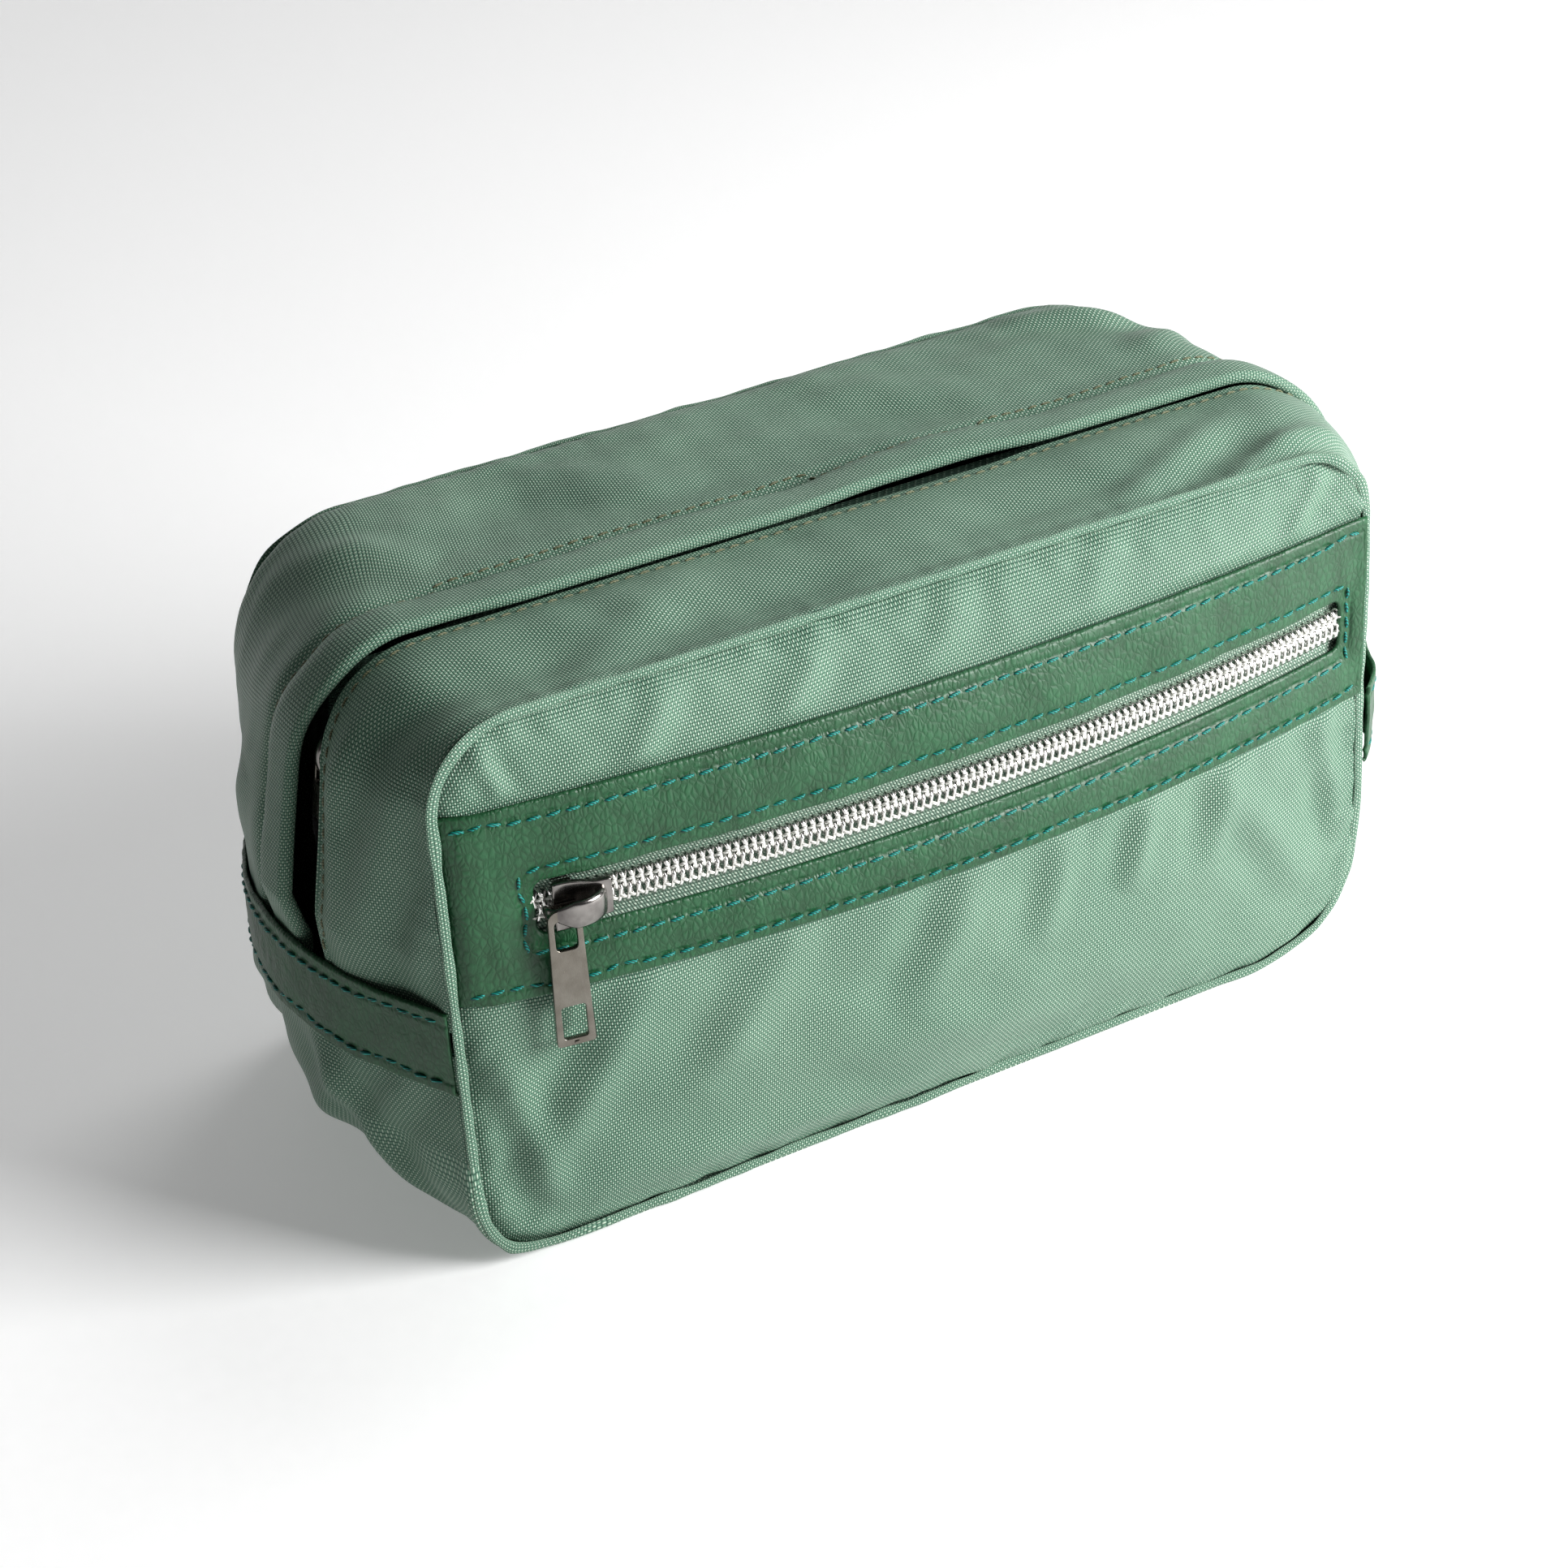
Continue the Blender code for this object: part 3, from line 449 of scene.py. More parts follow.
# %% Woven cloth, tapes and lining
def woven(name, dark, middle, light, yarn=(0.44, 0.60), roughness=0.38, depth=0.00025,
          slant=False):
    paint = paint_of(name, roughness, Sheen_Roughness=0.4, Specular_IOR_Level=0.22)
    calc = partial(maths, paint)
    uv = add(paint, "TexCoord").outputs["UV"]
    split = add(paint, "SeparateXYZ", (uv,))
    a = calc("MULTIPLY", split.outputs[0], 100 / yarn[0])
    b = calc("MULTIPLY", split.outputs[1], 100 / yarn[1])
    if slant:
        b = calc("ADD", b, calc("MULTIPLY", a, 0.5))
    hump_a, hump_b = [calc("ABSOLUTE", calc("SINE", calc("MULTIPLY", across, math.pi)))
                      for across in (a, b)]
    over = calc("FLOORED_MODULO", calc("ADD", calc("FLOOR", a), calc("FLOOR", b)), 2.0)
    warp = calc("MULTIPLY", hump_a, calc("POWER", hump_b, 0.6))
    weft = calc("MULTIPLY", hump_b, calc("MULTIPLY_ADD", hump_a, 0.25, 0.2))
    height = calc("ADD", calc("MULTIPLY", warp, over),
                  calc("MULTIPLY", weft, calc("SUBTRACT", 1.0, over)))
    cloud = noise(paint, add(paint, "TexCoord").outputs["Object"], 35.0, 4.0)
    streak = noise(paint, stretched(paint, uv, (30, 900, 1)), 1.0, 3.0)
    # The colour follows the yarns' height: painted shade in the gaps between yarns and a painted
    # highlight on their crowns, mixed with random tone from the two noises.
    shade = calc("ADD", calc("MULTIPLY", height, 0.8),
                 calc("ADD", calc("MULTIPLY", cloud, 0.14), calc("MULTIPLY", streak, 0.14)))
    colour = ramp(paint, shade, ((0.12, dark), (0.45, middle), (0.9, light)))
    connect(paint, colour, height, 0.8, depth)
    return paint


SAGE = woven("sage_cloth", (0.008, 0.050, 0.032), (0.118, 0.232, 0.158), (0.48, 0.585, 0.47))
TAPE = woven("zip_tape", (0.03, 0.07, 0.05), (0.19, 0.28, 0.215), (0.50, 0.59, 0.49),
             (0.6, 0.6), 0.7, 0.0003, slant=True)
# A darker copy of the zip tape for the main zip: painted shade for its place deep in the groove
# between the two strips.
SHADED_TAPE = woven("shaded_zip_tape", (0.015, 0.04, 0.028), (0.05, 0.10, 0.07),
                  (0.15, 0.23, 0.17), (0.6, 0.6), 0.7, 0.0003, slant=True)
LINING = woven("lining_cloth", (0.02, 0.03, 0.026), (0.055, 0.072, 0.064),
               (0.11, 0.13, 0.12), (0.3, 0.3), 0.45, 0.0001)
print("woven materials:", SAGE.name, TAPE.name, SHADED_TAPE.name, LINING.name)


# %% [markdown]
# Coated leather has three scales: broad soft dents, creases that run in one direction,
# and a fine pebble. Their heights are added, and the creases are also a little darker.

# %% Grained leather
def leather():
    paint = paint_of("green_leather", 0.42, Specular_IOR_Level=0.4)
    calc = partial(maths, paint)
    place = add(paint, "TexCoord").outputs["Object"]
    wander = add(paint, "TexNoise", (place, None, 120.0, 2.0)).outputs[1]
    bent = add(paint, "MixRGB", (0.0025, place, wander)).outputs[0]
    cells = add(paint, "TexVoronoi", (stretched(paint, bent, (900, 900, 560)), None, 1.0),
                feature="DISTANCE_TO_EDGE").outputs[0]
    crease = calc("MINIMUM", calc("MULTIPLY", cells, 3.2), 1.0)
    wrinkle = noise(paint, stretched(paint, bent, (520, 520, 110)), 1.0, 4.0, 0.6)
    wide = noise(paint, place, 130.0, 4.0)
    pebble = noise(paint, place, 2200.0, 2.0)
    height = calc("ADD", calc("MULTIPLY", crease, 0.5),
                  calc("ADD", calc("MULTIPLY", wrinkle, 0.8), calc("MULTIPLY", pebble, 0.16)))
    tone = calc("ADD", calc("MULTIPLY", wide, 0.5), calc("MULTIPLY", height, 0.28))
    colour = ramp(paint, tone, ((0.3, (0.005, 0.043, 0.013)), (0.55, (0.011, 0.080, 0.028)),
                                (0.8, (0.030, 0.125, 0.050))))
    connect(paint, colour, height, 0.42, 0.0004, calc("MULTIPLY_ADD", wide, 0.2, 0.33))
    return paint


LEATHER = leather()


# %% [markdown]
# Thread is twisted, so it gets a fine slanted wave. The coil is plastic with a bright
# metal coating, the slider is dark polished nickel, and the pull is satin nickel with
# small scratches from keys and coins.

# %% Threads and metals
def thread(name, dark, light):
    paint = paint_of(name, 0.5, Specular_IOR_Level=0.35)
    place = add(paint, "TexCoord").outputs["Object"]
    twist = add(paint, "TexWave", (place, 900.0, 1.5), wave_type="BANDS",
                bands_direction="DIAGONAL").outputs[1]
    # The twist's bands also set the colour: painted shade in the twist's grooves and a painted
    # highlight on its ridges.
    connect(paint, ramp(paint, twist, ((0.1, dark), (0.9, light))), twist, 0.5, 0.0001)
    return paint


def metal(name, dark, light, roughness, scratch):
    paint = paint_of(name, roughness, 1.0)
    place = add(paint, "TexCoord").outputs["Object"]
    cloud = noise(paint, place, 260.0, 4.0)
    lines = noise(paint, stretched(paint, place, (5200, 5200, 300), (0, 0.3, 0.5)), 1.0, 3.0)
    rough = maths(paint, "MULTIPLY_ADD", lines, scratch, roughness)
    connect(paint, ramp(paint, cloud, ((0.3, dark), (0.7, light))), lines, 0.12, 0.00005,
            rough)
    return paint


TEAL = thread("teal_thread", (0.001, 0.045, 0.040), (0.002, 0.260, 0.215))
COIL_THREAD = thread("coil_thread", (0.42, 0.42, 0.38), (0.80, 0.80, 0.76))
OLIVE = thread("olive_thread", (0.05, 0.06, 0.028), (0.17, 0.175, 0.095))
COIL = metal("silver_coil", (0.74, 0.73, 0.70), (0.93, 0.92, 0.90), 0.20, 0.12)
SLIDER = metal("dark_nickel", (0.13, 0.12, 0.115), (0.30, 0.285, 0.27), 0.13, 0.12)
PULL = metal("satin_nickel", (0.15, 0.136, 0.115), (0.21, 0.195, 0.17), 0.19, 0.16)
for shown in ("main_lock_spring", "pocket_lock_spring"):
    frame["nodes"][shown].data.materials.clear()
    frame["nodes"][shown].data.materials.append(PULL)
print("metals and threads ready")

# %% [markdown]
# ## The camera, floor and light
# The bag stands on a pale floor that curves up into a wall, so no horizon shows. One
# large soft lamp from the front right models the folds, and weak ones light the top and
# the left end. The camera sees the world pale, but the bag is lit by only a little of it.

# %% Stage
def stage():
    axes = ((0.8672, -0.4952, -0.0525), (0.2970, 0.4297, 0.8528), (-0.3998, -0.7551, 0.5197))
    back_axis = Vector(axes[2])
    place = Vector((-0.01098, 0.002498, 0.0504)) + back_axis * 0.6788
    bpy.ops.object.camera_add(location=place)
    camera = bpy.context.object
    camera.matrix_world = Matrix.Translation(place) @ Matrix(axes).transposed().to_4x4()
    camera.data.lens, camera.data.sensor_width = 78.08, 36
    camera.data.clip_start = 0.01
    bpy.context.scene.camera = camera

    floor, co = grid(2, 60)
    run = (co[:, 1] + 1) * 2.4 - 1.6
    bend = np.clip((run - 1.0) / 0.9425, 0, 1) * math.pi / 2
    y = np.where(run < 1.0, run, 1.0 + 0.6 * np.sin(bend))
    z = 0.6 * (1 - np.cos(bend)) + np.maximum(run - 1.9425, 0)
    flat = np.stack([co[:, 0] * 3, y, z - 0.0001], -1)
    turn = Matrix.Rotation(math.radians(-27), 3, "Z")
    write_points(floor, flat @ np.array(turn).T)
    white = paint_of("pale_floor", 0.75, Emission_Color=(1, 1, 1, 1), Emission_Strength=0.22)
    place = add(white, "TexCoord").outputs["Object"]
    grain = noise(white, place, 300.0, 3.0)
    connect(white, ramp(white, grain, ((0.2, (0.86, 0.86, 0.86)), (0.8, (0.9, 0.9, 0.9)))))
    finish_mesh(floor, "floor", white)

    world = bpy.data.worlds.new("studio")
    bpy.context.scene.world = world
    world.use_nodes = True
    sky = world.node_tree.nodes["Background"]
    sky.inputs[0].default_value = (1, 1, 1, 1)
    links, nodes = world.node_tree.links, world.node_tree.nodes
    seen = nodes.new("ShaderNodeMapRange")
    links.new(nodes.new("ShaderNodeLightPath").outputs["Is Camera Ray"], seen.inputs[0])
    seen.inputs["To Min"].default_value, seen.inputs["To Max"].default_value = 0.06, 0.92
    links.new(seen.outputs[0], sky.inputs[1])
    lamps = (("key", (0.60, -0.61, 0.42), 0.5, 19.0), ("top", (0.55, 0.30, 1.1), 0.5, 4.0),
             ("fill", (-0.9, -0.5, 0.45), 0.6, 0.08))
    for name, spot, size, power in lamps:
        bpy.ops.object.light_add(type="AREA", location=spot)
        lamp = bpy.context.object
        lamp.name = name + "_lamp"
        lamp.data.size, lamp.data.energy = size, power
        aim = Vector((0, 0, 0.05)) - Vector(spot)
        lamp.rotation_euler = aim.to_track_quat("-Z", "Y").to_euler()
    bpy.context.scene.view_settings.view_transform = "Standard"


stage()


# %% [markdown]
# ## Front and back
# Each panel is one flat cut of cloth that bows out between its seams. A few long soft
# folds are pressed into it where the band pulls, and fine puckers run in from the seam.

# %% The three panels
def panel(name, low, high, surface, lines, seed, away, rows, pucker=None, slump=0.0,
          inset=0.5):
    def place(u, v):
        z = low + (high - low) * v
        left = half_width(z, inset, TOP_R + slump, 2.0 if slump else 2 / (1 - SQUARE))
        right = half_width(z, inset)
        return (2 * u - 1) * np.where(u < 0.5, left, right), z

    def lay(u, v):
        x, z = place(u, v)
        return surface(x, z)

    def height(u, v):
        x, z = place(u, v)
        rim = inside(x, z, np.where(x < 0, TOP_R + slump, TOP_R), 2.0 if slump else 3.3)
        calm = np.clip((rim - 1) / 8, 0, 1)
        h = 0.75 * calm * ripple(x, z * 0.8, 34, seed) + 0.22 * ripple(x, z, 12, seed + 1) * calm
        near = np.exp(-((rim - 3.5) / 4) ** 2)
        h = h + 0.3 * near * ripple(x, z, 6, seed + 2)
        h = h + folds(x, z, lines)
        h = h + (pucker(x, z) if pucker else 0)
        if slump:
            return h
        clear = np.clip(np.maximum(BAND_LOW - z, z - BAND_HIGH) / 2.5, 0, 1)
        return h * clear - 0.5 * (1 - clear)

    return laid(name, (260, rows), lay, SAGE, height, away, 0.6, place)


def band_pull(x, z):
    """Soft flutes and small dents where the leather's stitches draw the cloth in."""
    below = np.maximum(BAND_LOW - z, 0)
    near = np.exp(-below / 3.2) * (z < BAND_LOW + 1)
    flutes = np.exp(-(below / 14) ** 1.5) * np.clip((x + 70) / 60, 0.25, 1)
    lean = x + below * 0.35
    dents = near * (0.25 * ripple(x, z * 0.25, 7, 31) - 0.3)
    return dents + 0.62 * flutes * ripple(lean, z * 0.12, 15, 33)


LOWER_FOLDS = (
    (((-62, 60), (-90, 14)), 4.6, 2.0), (((-34, 60), (-58, 26)), 5.0, 1.5),
    (((6, 60), (-14, 30)), 5.0, 1.4), (((26, 60), (16, 34)), 4.0, 1.5),
    (((44, 61), (38, 38)), 3.6, 1.6), (((62, 61), (60, 36)), 4.0, 1.4),
    (((60, 58), (88, 18)), 4.4, 1.3), (((-94, 54), (-84, 8)), 3.4, 1.5),
    (((88, 58), (97, 26)), 3.0, 1.3), (((-78, 12), (10, 9)), 4.0, 1.0),
    (((-40, 34), (30, 14)), 8.0, 1.1))
UPPER_FOLDS = (
    (((-86, 97), (-92, 113)), 2.0, 1.0), (((-66, 96), (-52, 114)), 3.4, 1.3),
    (((-38, 96), (-20, 114)), 3.6, 1.2), (((-8, 96), (8, 114)), 4.2, 1.0),
    (((28, 96), (40, 114)), 4.0, 0.9), (((78, 97), (90, 113)), 2.6, 1.0))
BACK_FOLDS = (
    (((-50, 20), (-80, 80)), 6.0, 1.0), (((40, 18), (70, 84)), 6.0, 1.0),
    (((-10, 30), (6, 96)), 8.0, 0.7), (((-30, 10), (50, 14)), 5.0, 0.7),
    (((86, 92), (60, 108)), 3.0, 0.8))

claim(panel("front_lower_cloth", 1.0, 63.0, front, LOWER_FOLDS, 11, (0, 900, 57), 90,
            band_pull), "bag", "fabric", "front_lower_panel")
claim(panel("front_upper_cloth", 95.0, 114.0, front, UPPER_FOLDS, 21, (0, 900, 57), 44),
      hinge("front"), "fabric", "front_upper_panel")
claim(panel("back_cloth", 2.6, 112.4, back, BACK_FOLDS, 41, (0, -900, 57), 130,
            slump=SLUMP, inset=2.6),
      hinge("back"), "fabric", "back_panel")


# %% [markdown]
# ## Base and ends
# One strip runs down the left end, under the bag and up the right end, where it meets
# the leather bands. It dips beside each rim, as the front does.

# %% The base strip
def beside_rim(y):
    """The strip rises onto the front rim and rounds down to the back one."""
    front_rise = 0.9 * np.exp(-((46.6 - np.abs(y)) / 2.0) ** 2)
    back_drop = -2.2 * np.exp(-((47.2 - np.abs(y)) / 3.0) ** 2)
    return np.where(np.asarray(y) < 0, front_rise, back_drop)


def base_lay(u, v):
    s, y = BASE_R - BASE_RUN * u, (2 * v - 1) * 47.0
    _, z = ring(s)
    return gusset(s, y, beside_rim(y) * np.clip(z / 10, 0, 1))


BASE_FOLDS = (
    (((2, -30), (44, 6)), 4.6, 2.0), (((2, 14), (38, 36)), 4.6, 1.8),
    (((4, -8), (50, -36)), 4.0, 1.6), (((2, -42), (30, -20)), 3.4, 1.4),
    (((262, -28), (236, 4)), 4.0, 1.2), (((272, 20), (240, 34)), 4.0, 1.0))


def base_height(u, v):
    s, y = BASE_RUN * u, (2 * v - 1) * 47
    _, z = ring(BASE_R - s)
    free = np.clip((z - 1.5) / 8, 0, 1)
    h = 0.5 * ripple(s, y, 30, 51) + 0.2 * ripple(s, y, 10, 52)
    return (h + folds(s, y, BASE_FOLDS)) * free


claim(laid("base_cloth", (220, 90), base_lay, SAGE, base_height, (0, 0, 40), 0.6,
           lambda u, v: ((2 * v - 1) * 46, BASE_RUN * u)), "bag", "fabric", "bottom_gusset")


# %% [markdown]
# ## Leather bands
# The leather is cut with bare edges, so its edge is rolled over a small radius and the
# thread lines sink a little. The end bands are plain strips. The front band is a ring
# round the zip window: one loop of points follows its outer edge, one the window, and
# the grid runs between them.

# %% Edge, groove and end bands
def roll(d, r=0.7):
    """How far a bare edge falls away at a distance d from it."""
    e = np.clip(r - d, 0, r)
    return r - np.sqrt(np.maximum(r * r - e * e, 0))


def groove(d, depth=0.3, width=0.42):
    return -depth * np.exp(-(d / width) ** 2)


def end_band(side, s_low, s_high):
    def edges(v):
        """The place across the band, with more rows close to its two edges."""
        w = v - 0.55 * np.sin(4 * np.pi * v) / (4 * np.pi)
        return s_low + (s_high - s_low) * w, np.minimum(w, 1 - w) * (s_high - s_low)

    def lay(u, v):
        s, d = edges(v)
        y = (2 * u - 1) * 46.8
        proud = 2.4 * np.exp(-((y + 42) / 6) ** 2) * (s > 182)
        return gusset(s, y, 1.15 + proud - roll(d) + 0.5 * beside_rim(y))

    def height(u, v):
        s, d = edges(v)
        y = (2 * u - 1) * 46.8
        return groove(d - STITCH_IN) + 0.16 * ripple(s, y, 12, 61) + 0.1 * ripple(s, y, 5, 62)

    obj = laid(side + "_band_leather", (150, 56), lay, LEATHER, height, (0, 0, 50), 0.75)
    return claim(obj, "bag", "leather", side + "_end_band")


end_band("left", END_LOW - BASE_R, END_HIGH - BASE_R)
end_band("right", RIGHT_FOOT - END_HIGH, RIGHT_FOOT - END_LOW)


# %% The front band round its window
def outer_point(side, x, z):
    """The point of the band's outer edge beyond a point of the window's edge."""
    return ((x, BAND_LOW), (BAND_END, z), (x, BAND_HIGH), (-BAND_END, z))[side]


def between(a, b, f):
    return a[0] + (b[0] - a[0]) * f, a[1] + (b[1] - a[1]) * f


def window_loops():
    """Matching points of the band's outer edge and of the window's rounded edge."""
    x0, x1, z0, z1 = WINDOW
    r, turns = WINDOW_R, 6
    starts = ((x0 + r, z0), (x1, z0 + r), (x1 - r, z1), (x0, z1 - r))
    ends = ((x1 - r, z0), (x1, z1 - r), (x0 + r, z1), (x0, z0 + r))
    centres = ((x1 - r, z0 + r), (x1 - r, z1 - r), (x0 + r, z1 - r), (x0 + r, z0 + r))
    corners = ((BAND_END, BAND_LOW), (BAND_END, BAND_HIGH), (-BAND_END, BAND_HIGH),
               (-BAND_END, BAND_LOW))
    outer, inner = [], []
    for k, count in enumerate((70, 6, 70, 6)):
        for i in range(count):
            inner.append(between(starts[k], ends[k], i / count))
            outer.append(outer_point(k, *inner[-1]))
        here, there = outer_point(k, *ends[k]), outer_point((k + 1) % 4, *starts[(k + 1) % 4])
        for i in range(turns):
            a, f = math.radians(90 * (k - 1) + 90 * i / turns), i / turns * 2
            inner.append((centres[k][0] + r * math.cos(a), centres[k][1] + r * math.sin(a)))
            outer.append(between(here, corners[k], f) if f <= 1 else
                         between(corners[k], there, f - 1))
    return np.array(outer), np.array(inner)


OUTER, INNER = window_loops()
LOOP = len(OUTER)


def window_distance(x, z):
    """Distance out from the window's rounded edge."""
    x0, x1, z0, z1 = WINDOW
    qx = np.abs(x - (x0 + x1) / 2) - (x1 - x0) / 2 + WINDOW_R
    qz = np.abs(z - (z0 + z1) / 2) - (z1 - z0) / 2 + WINDOW_R
    outside = np.hypot(np.maximum(qx, 0), np.maximum(qz, 0))
    return outside + np.minimum(np.maximum(qx, qz), 0) - WINDOW_R


def band_place(u, v):
    t = u * LOOP
    i = np.floor(t + 1e-9).astype(int)
    f = (t - i)[:, None]
    a = OUTER[i % LOOP] * (1 - f) + OUTER[(i + 1) % LOOP] * f
    b = INNER[i % LOOP] * (1 - f) + INNER[(i + 1) % LOOP] * f
    w = v - 0.7 * np.sin(2 * np.pi * v) * np.cos(2 * np.pi * v) / (2 * np.pi)
    p = a + (b - a) * w[:, None]
    return p[:, 0], p[:, 1]


def band_lay(u, v):
    x, z = band_place(u, v)
    edge = np.minimum(z - BAND_LOW, BAND_HIGH - z)
    window = window_distance(x, z)
    sink = np.exp(-(np.maximum(window, 0) / 4.5) ** 2)
    seam = 0.5 * np.exp(-((BAND_END - np.abs(x)) / 1.6) ** 2) * (x < 0)
    return front(x, z, 1.15 - roll(edge) - roll(window) - 1.15 * sink - seam)


def band_height(u, v):
    x, z = band_place(u, v)
    edge = np.minimum(z - BAND_LOW, BAND_HIGH - z)
    window = window_distance(x, z)
    h = groove(edge - STITCH_IN) + groove(window - 2.7)
    h = h + 0.22 * ripple(x, z * 0.5, 22, 71) * np.clip(edge / 6, 0, 1)
    h = h + 0.09 * ripple(x * 1.6, z * 0.5, 7, 72)
    tug = np.exp(-((window - 2.7) / 2.2) ** 2) + np.exp(-((edge - STITCH_IN) / 1.8) ** 2)
    return h + 0.05 * tug * np.sin(2 * math.pi * x / 3.6)


BAND = laid("pocket_band_leather", (LOOP, 64), band_lay, LEATHER, band_height,
            (0, 900, 57), 0)
weld(BAND, 0.000005, outward=False)
thicken(BAND, 0.75)
claim(finish_mesh(BAND, "pocket_band_leather", LEATHER), "bag", "leather", "pocket_facing")


# %% [markdown]
# ## Cloth beside the main zip
# From band to band over the top, two strips of cloth hide the coil. Each is folded
# under at the zip, so its cross-section goes out flat, round a small roll and back
# beneath. The back strip also has a pleat: it sinks at its line of stitches and swells
# to the fold.

# %% The two strips
def lip_gap(s):
    """Half the open groove, wide at the left end where the slider's pull hangs."""
    share = np.clip((s - 68) / 20, 0, 1)
    left = 3.7 - 3.38 * share * share * (3 - 2 * share)
    open_part = 1.1 * np.exp(-((s - 203) / 20) ** 4)
    return left + open_part + 0.1 * ripple(s, 0 * s, 16, 81)


BACK_LIP_FOLDS = (
    (((84, 38), (112, 10)), 4.5, 1.5), (((60, 20), (40, 34)), 5.0, 1.4),
    (((130, 44), (168, 10)), 7.0, 1.0), (((200, 42), (232, 12)), 7.0, 1.0),
    (((300, 36), (262, 10)), 4.0, 1.6), (((252, 42), (282, 24)), 4.0, 1.4))
FRONT_LIP_FOLDS = (
    (((98, -44), (44, -30)), 4.4, 1.9), (((88, -24), (36, -24)), 3.4, 1.2),
    (((110, -46), (150, -22)), 5.0, 0.9), (((60, -46), (34, -38)), 3.0, 1.3),
    (((225, -44), (262, -26)), 4.0, 1.3), (((250, -46), (286, -32)), 3.2, 1.5),
    (((318, -44), (284, -22)), 3.6, 1.4))


def front_profile(s, y, w, taper):
    """A thread line, a crown along the middle and a long soft hollow."""
    out = -0.18 * np.exp(-((w - 1.8) / 0.6) ** 2)
    out = out + 1.9 * np.clip(1 - ((y + 31) / 15.5) ** 2, 0, 1) * taper
    return out - 1.3 * np.exp(-((y + 37) / 6.0) ** 2) * (0.8 + 0.3 * ripple(s, 0 * s, 40, 17))


def back_overlap(s):
    """How far the back strip lies over the front one where the zip is closed."""
    return np.clip(1 / (1 + np.exp((112 - s) / 3)) - np.exp(-((s - 203) / 21) ** 4), 0, 1)


def lip(side, sign, crest, width, lines, seed):
    """One strip: v runs from its seam to its fold at 0.84, and back beneath."""
    radius = LIP_RADIUS[side]

    def section(u, v):
        s = LIP_START + (LIP_END - LIP_START) * u
        taper = np.clip((s - 34) / 10, 0, 1) * np.clip((331.4 - s) / 10, 0, 1)
        tall = crest * taper
        edge = ZIP_Y + sign * (lip_gap(s) + radius)
        if side == "back":
            edge = edge - back_overlap(s)
        seam = sign * 47.0
        y = seam + (edge - seam) * np.clip(v / 0.84, 0, 1)
        w = np.abs(y - edge)
        out = tall * np.exp(-(w / 12.0) ** 4)
        if side == "back":
            pleat = 0.9 * np.exp(-((w - 14) / 1.8) ** 2)
            out = out * (1 - np.exp(-((w - 14) / 3.4) ** 2)) - pleat
        else:
            out = out + front_profile(s, y, w, taper)
        out = out + beside_rim(y)
        turn = np.clip((v - 0.84) / 0.08, 0, 1) * np.pi
        under = np.clip((v - 0.92) / 0.08, 0, 1)
        y = y - sign * (radius * np.sin(turn) - 7 * under)
        return s, y, out - radius * (1 - np.cos(turn)) - 0.35 * tall * under, w

    def height(u, v):
        s, y, _, w = section(u, v)
        top = v < 0.84
        calm = np.clip(w / 6, 0.25, 1) * np.clip((46 - np.abs(y)) / 7, 0, 1)
        h = (0.7 * ripple(s, y, 32, seed) + 0.2 * ripple(s, y, 11, seed + 1)) * calm * top
        h = h + 0.12 * ripple(s, y * 0.2, 5, seed + 2) * np.exp(-((46.2 - np.abs(y)) / 5) ** 2)
        if side == "back":
            h = h + 0.2 * ripple(s, y * 0.3, 6, seed + 3) * np.exp(-((w - 12) / 4) ** 2) * top
        return h + folds(s, y, lines) * top

    obj = laid(side + "_lip_cloth", (330, 96), lambda u, v: gusset(*section(u, v)[:3]), SAGE,
               height, (0, 0, 60), 0.45, lambda u, v: (v * width / 0.9, (LIP_END - LIP_START) * u))
    return claim(obj, hinge(side), "fabric",
                 *[side + "_lip_" + part for part in ("left_end", "top", "right_end")])


lip("front", -1, 0.8, 34, FRONT_LIP_FOLDS, 91)
lip("back", 1, 3.4, 60, BACK_LIP_FOLDS, 101)


# %% [markdown]
# ## The rims
# The seam allowances are turned and pressed into a thin standing edge all round the
# front and the back. It is a narrow closed loop that wanders and puckers, because the
# stitches behind it pull unevenly.

# %% Both rims
RING_RUN = 2 * SIDE_RUN + 2 * TOP_R * math.pi / 2 + TOP_RUN + BASE_FLAT + BASE_R * math.pi


def rim(name, side, height, lift):
    """side is -1 for the front and 1 for the back; lift sets the seam in or out."""
    def lay(u, v):
        s = RING_RUN * u
        _, z = ring(s)
        bend = np.exp(-((s - 84) / 15) ** 2) + 0.5 * np.exp(-((s - 279) / 14) ** 2)
        pinch = ripple(s, 0 * s, 9, 111 + side)
        wander = 0.5 * ripple(s, 0 * s, 20, 113 + side) + bend * 0.8 * ripple(s, 0 * s, 9, 115)
        base = np.clip((6 - z) / 6, 0, 1)
        tall = height + 0.18 * pinch + 0.25 * bend
        wide = 0.34 + 0.07 * pinch
        a = 2 * np.pi * v
        up = tall * np.sign(np.cos(a)) * np.abs(np.cos(a)) ** 0.7
        waist = 0.32 * np.exp(-(np.sin(a) / 0.5) ** 2) * (np.cos(a) > 0)
        over = wide * np.sin(a) * (1 - waist)
        y = side * (DEPTH / 2 + 0.35) + over + side * wander * 0.6
        r_top = corner(s, side * DEPTH / 2) + up + lift
        return gusset(s, y, up + lift + 0.25 * wander - 1.4 * base, r_top, side * 46.9)

    obj = laid(name + "_rim_cloth", (520, 16), lay, SAGE, None, (0, 0, 0), 0,
               lambda u, v: (v * 6.4, u * RING_RUN * 1.3))
    weld(obj, 0.000002)
    return claim(finish_mesh(obj, name + "_rim_cloth", SAGE), hinge(name), "fabric",
                 name + "_rim")


rim("front", -1, 1.05, -0.05)
rim("back", 1, 0.7, -2.5)


# %% [markdown]
# ## Points along a path
# Coils, tapes and stitches all follow a path at even steps. The next helpers resample a
# path by its length, find its directions, and wrap a grid round it as a tube. A small
# mesh that repeats is modelled once and copied to its places.

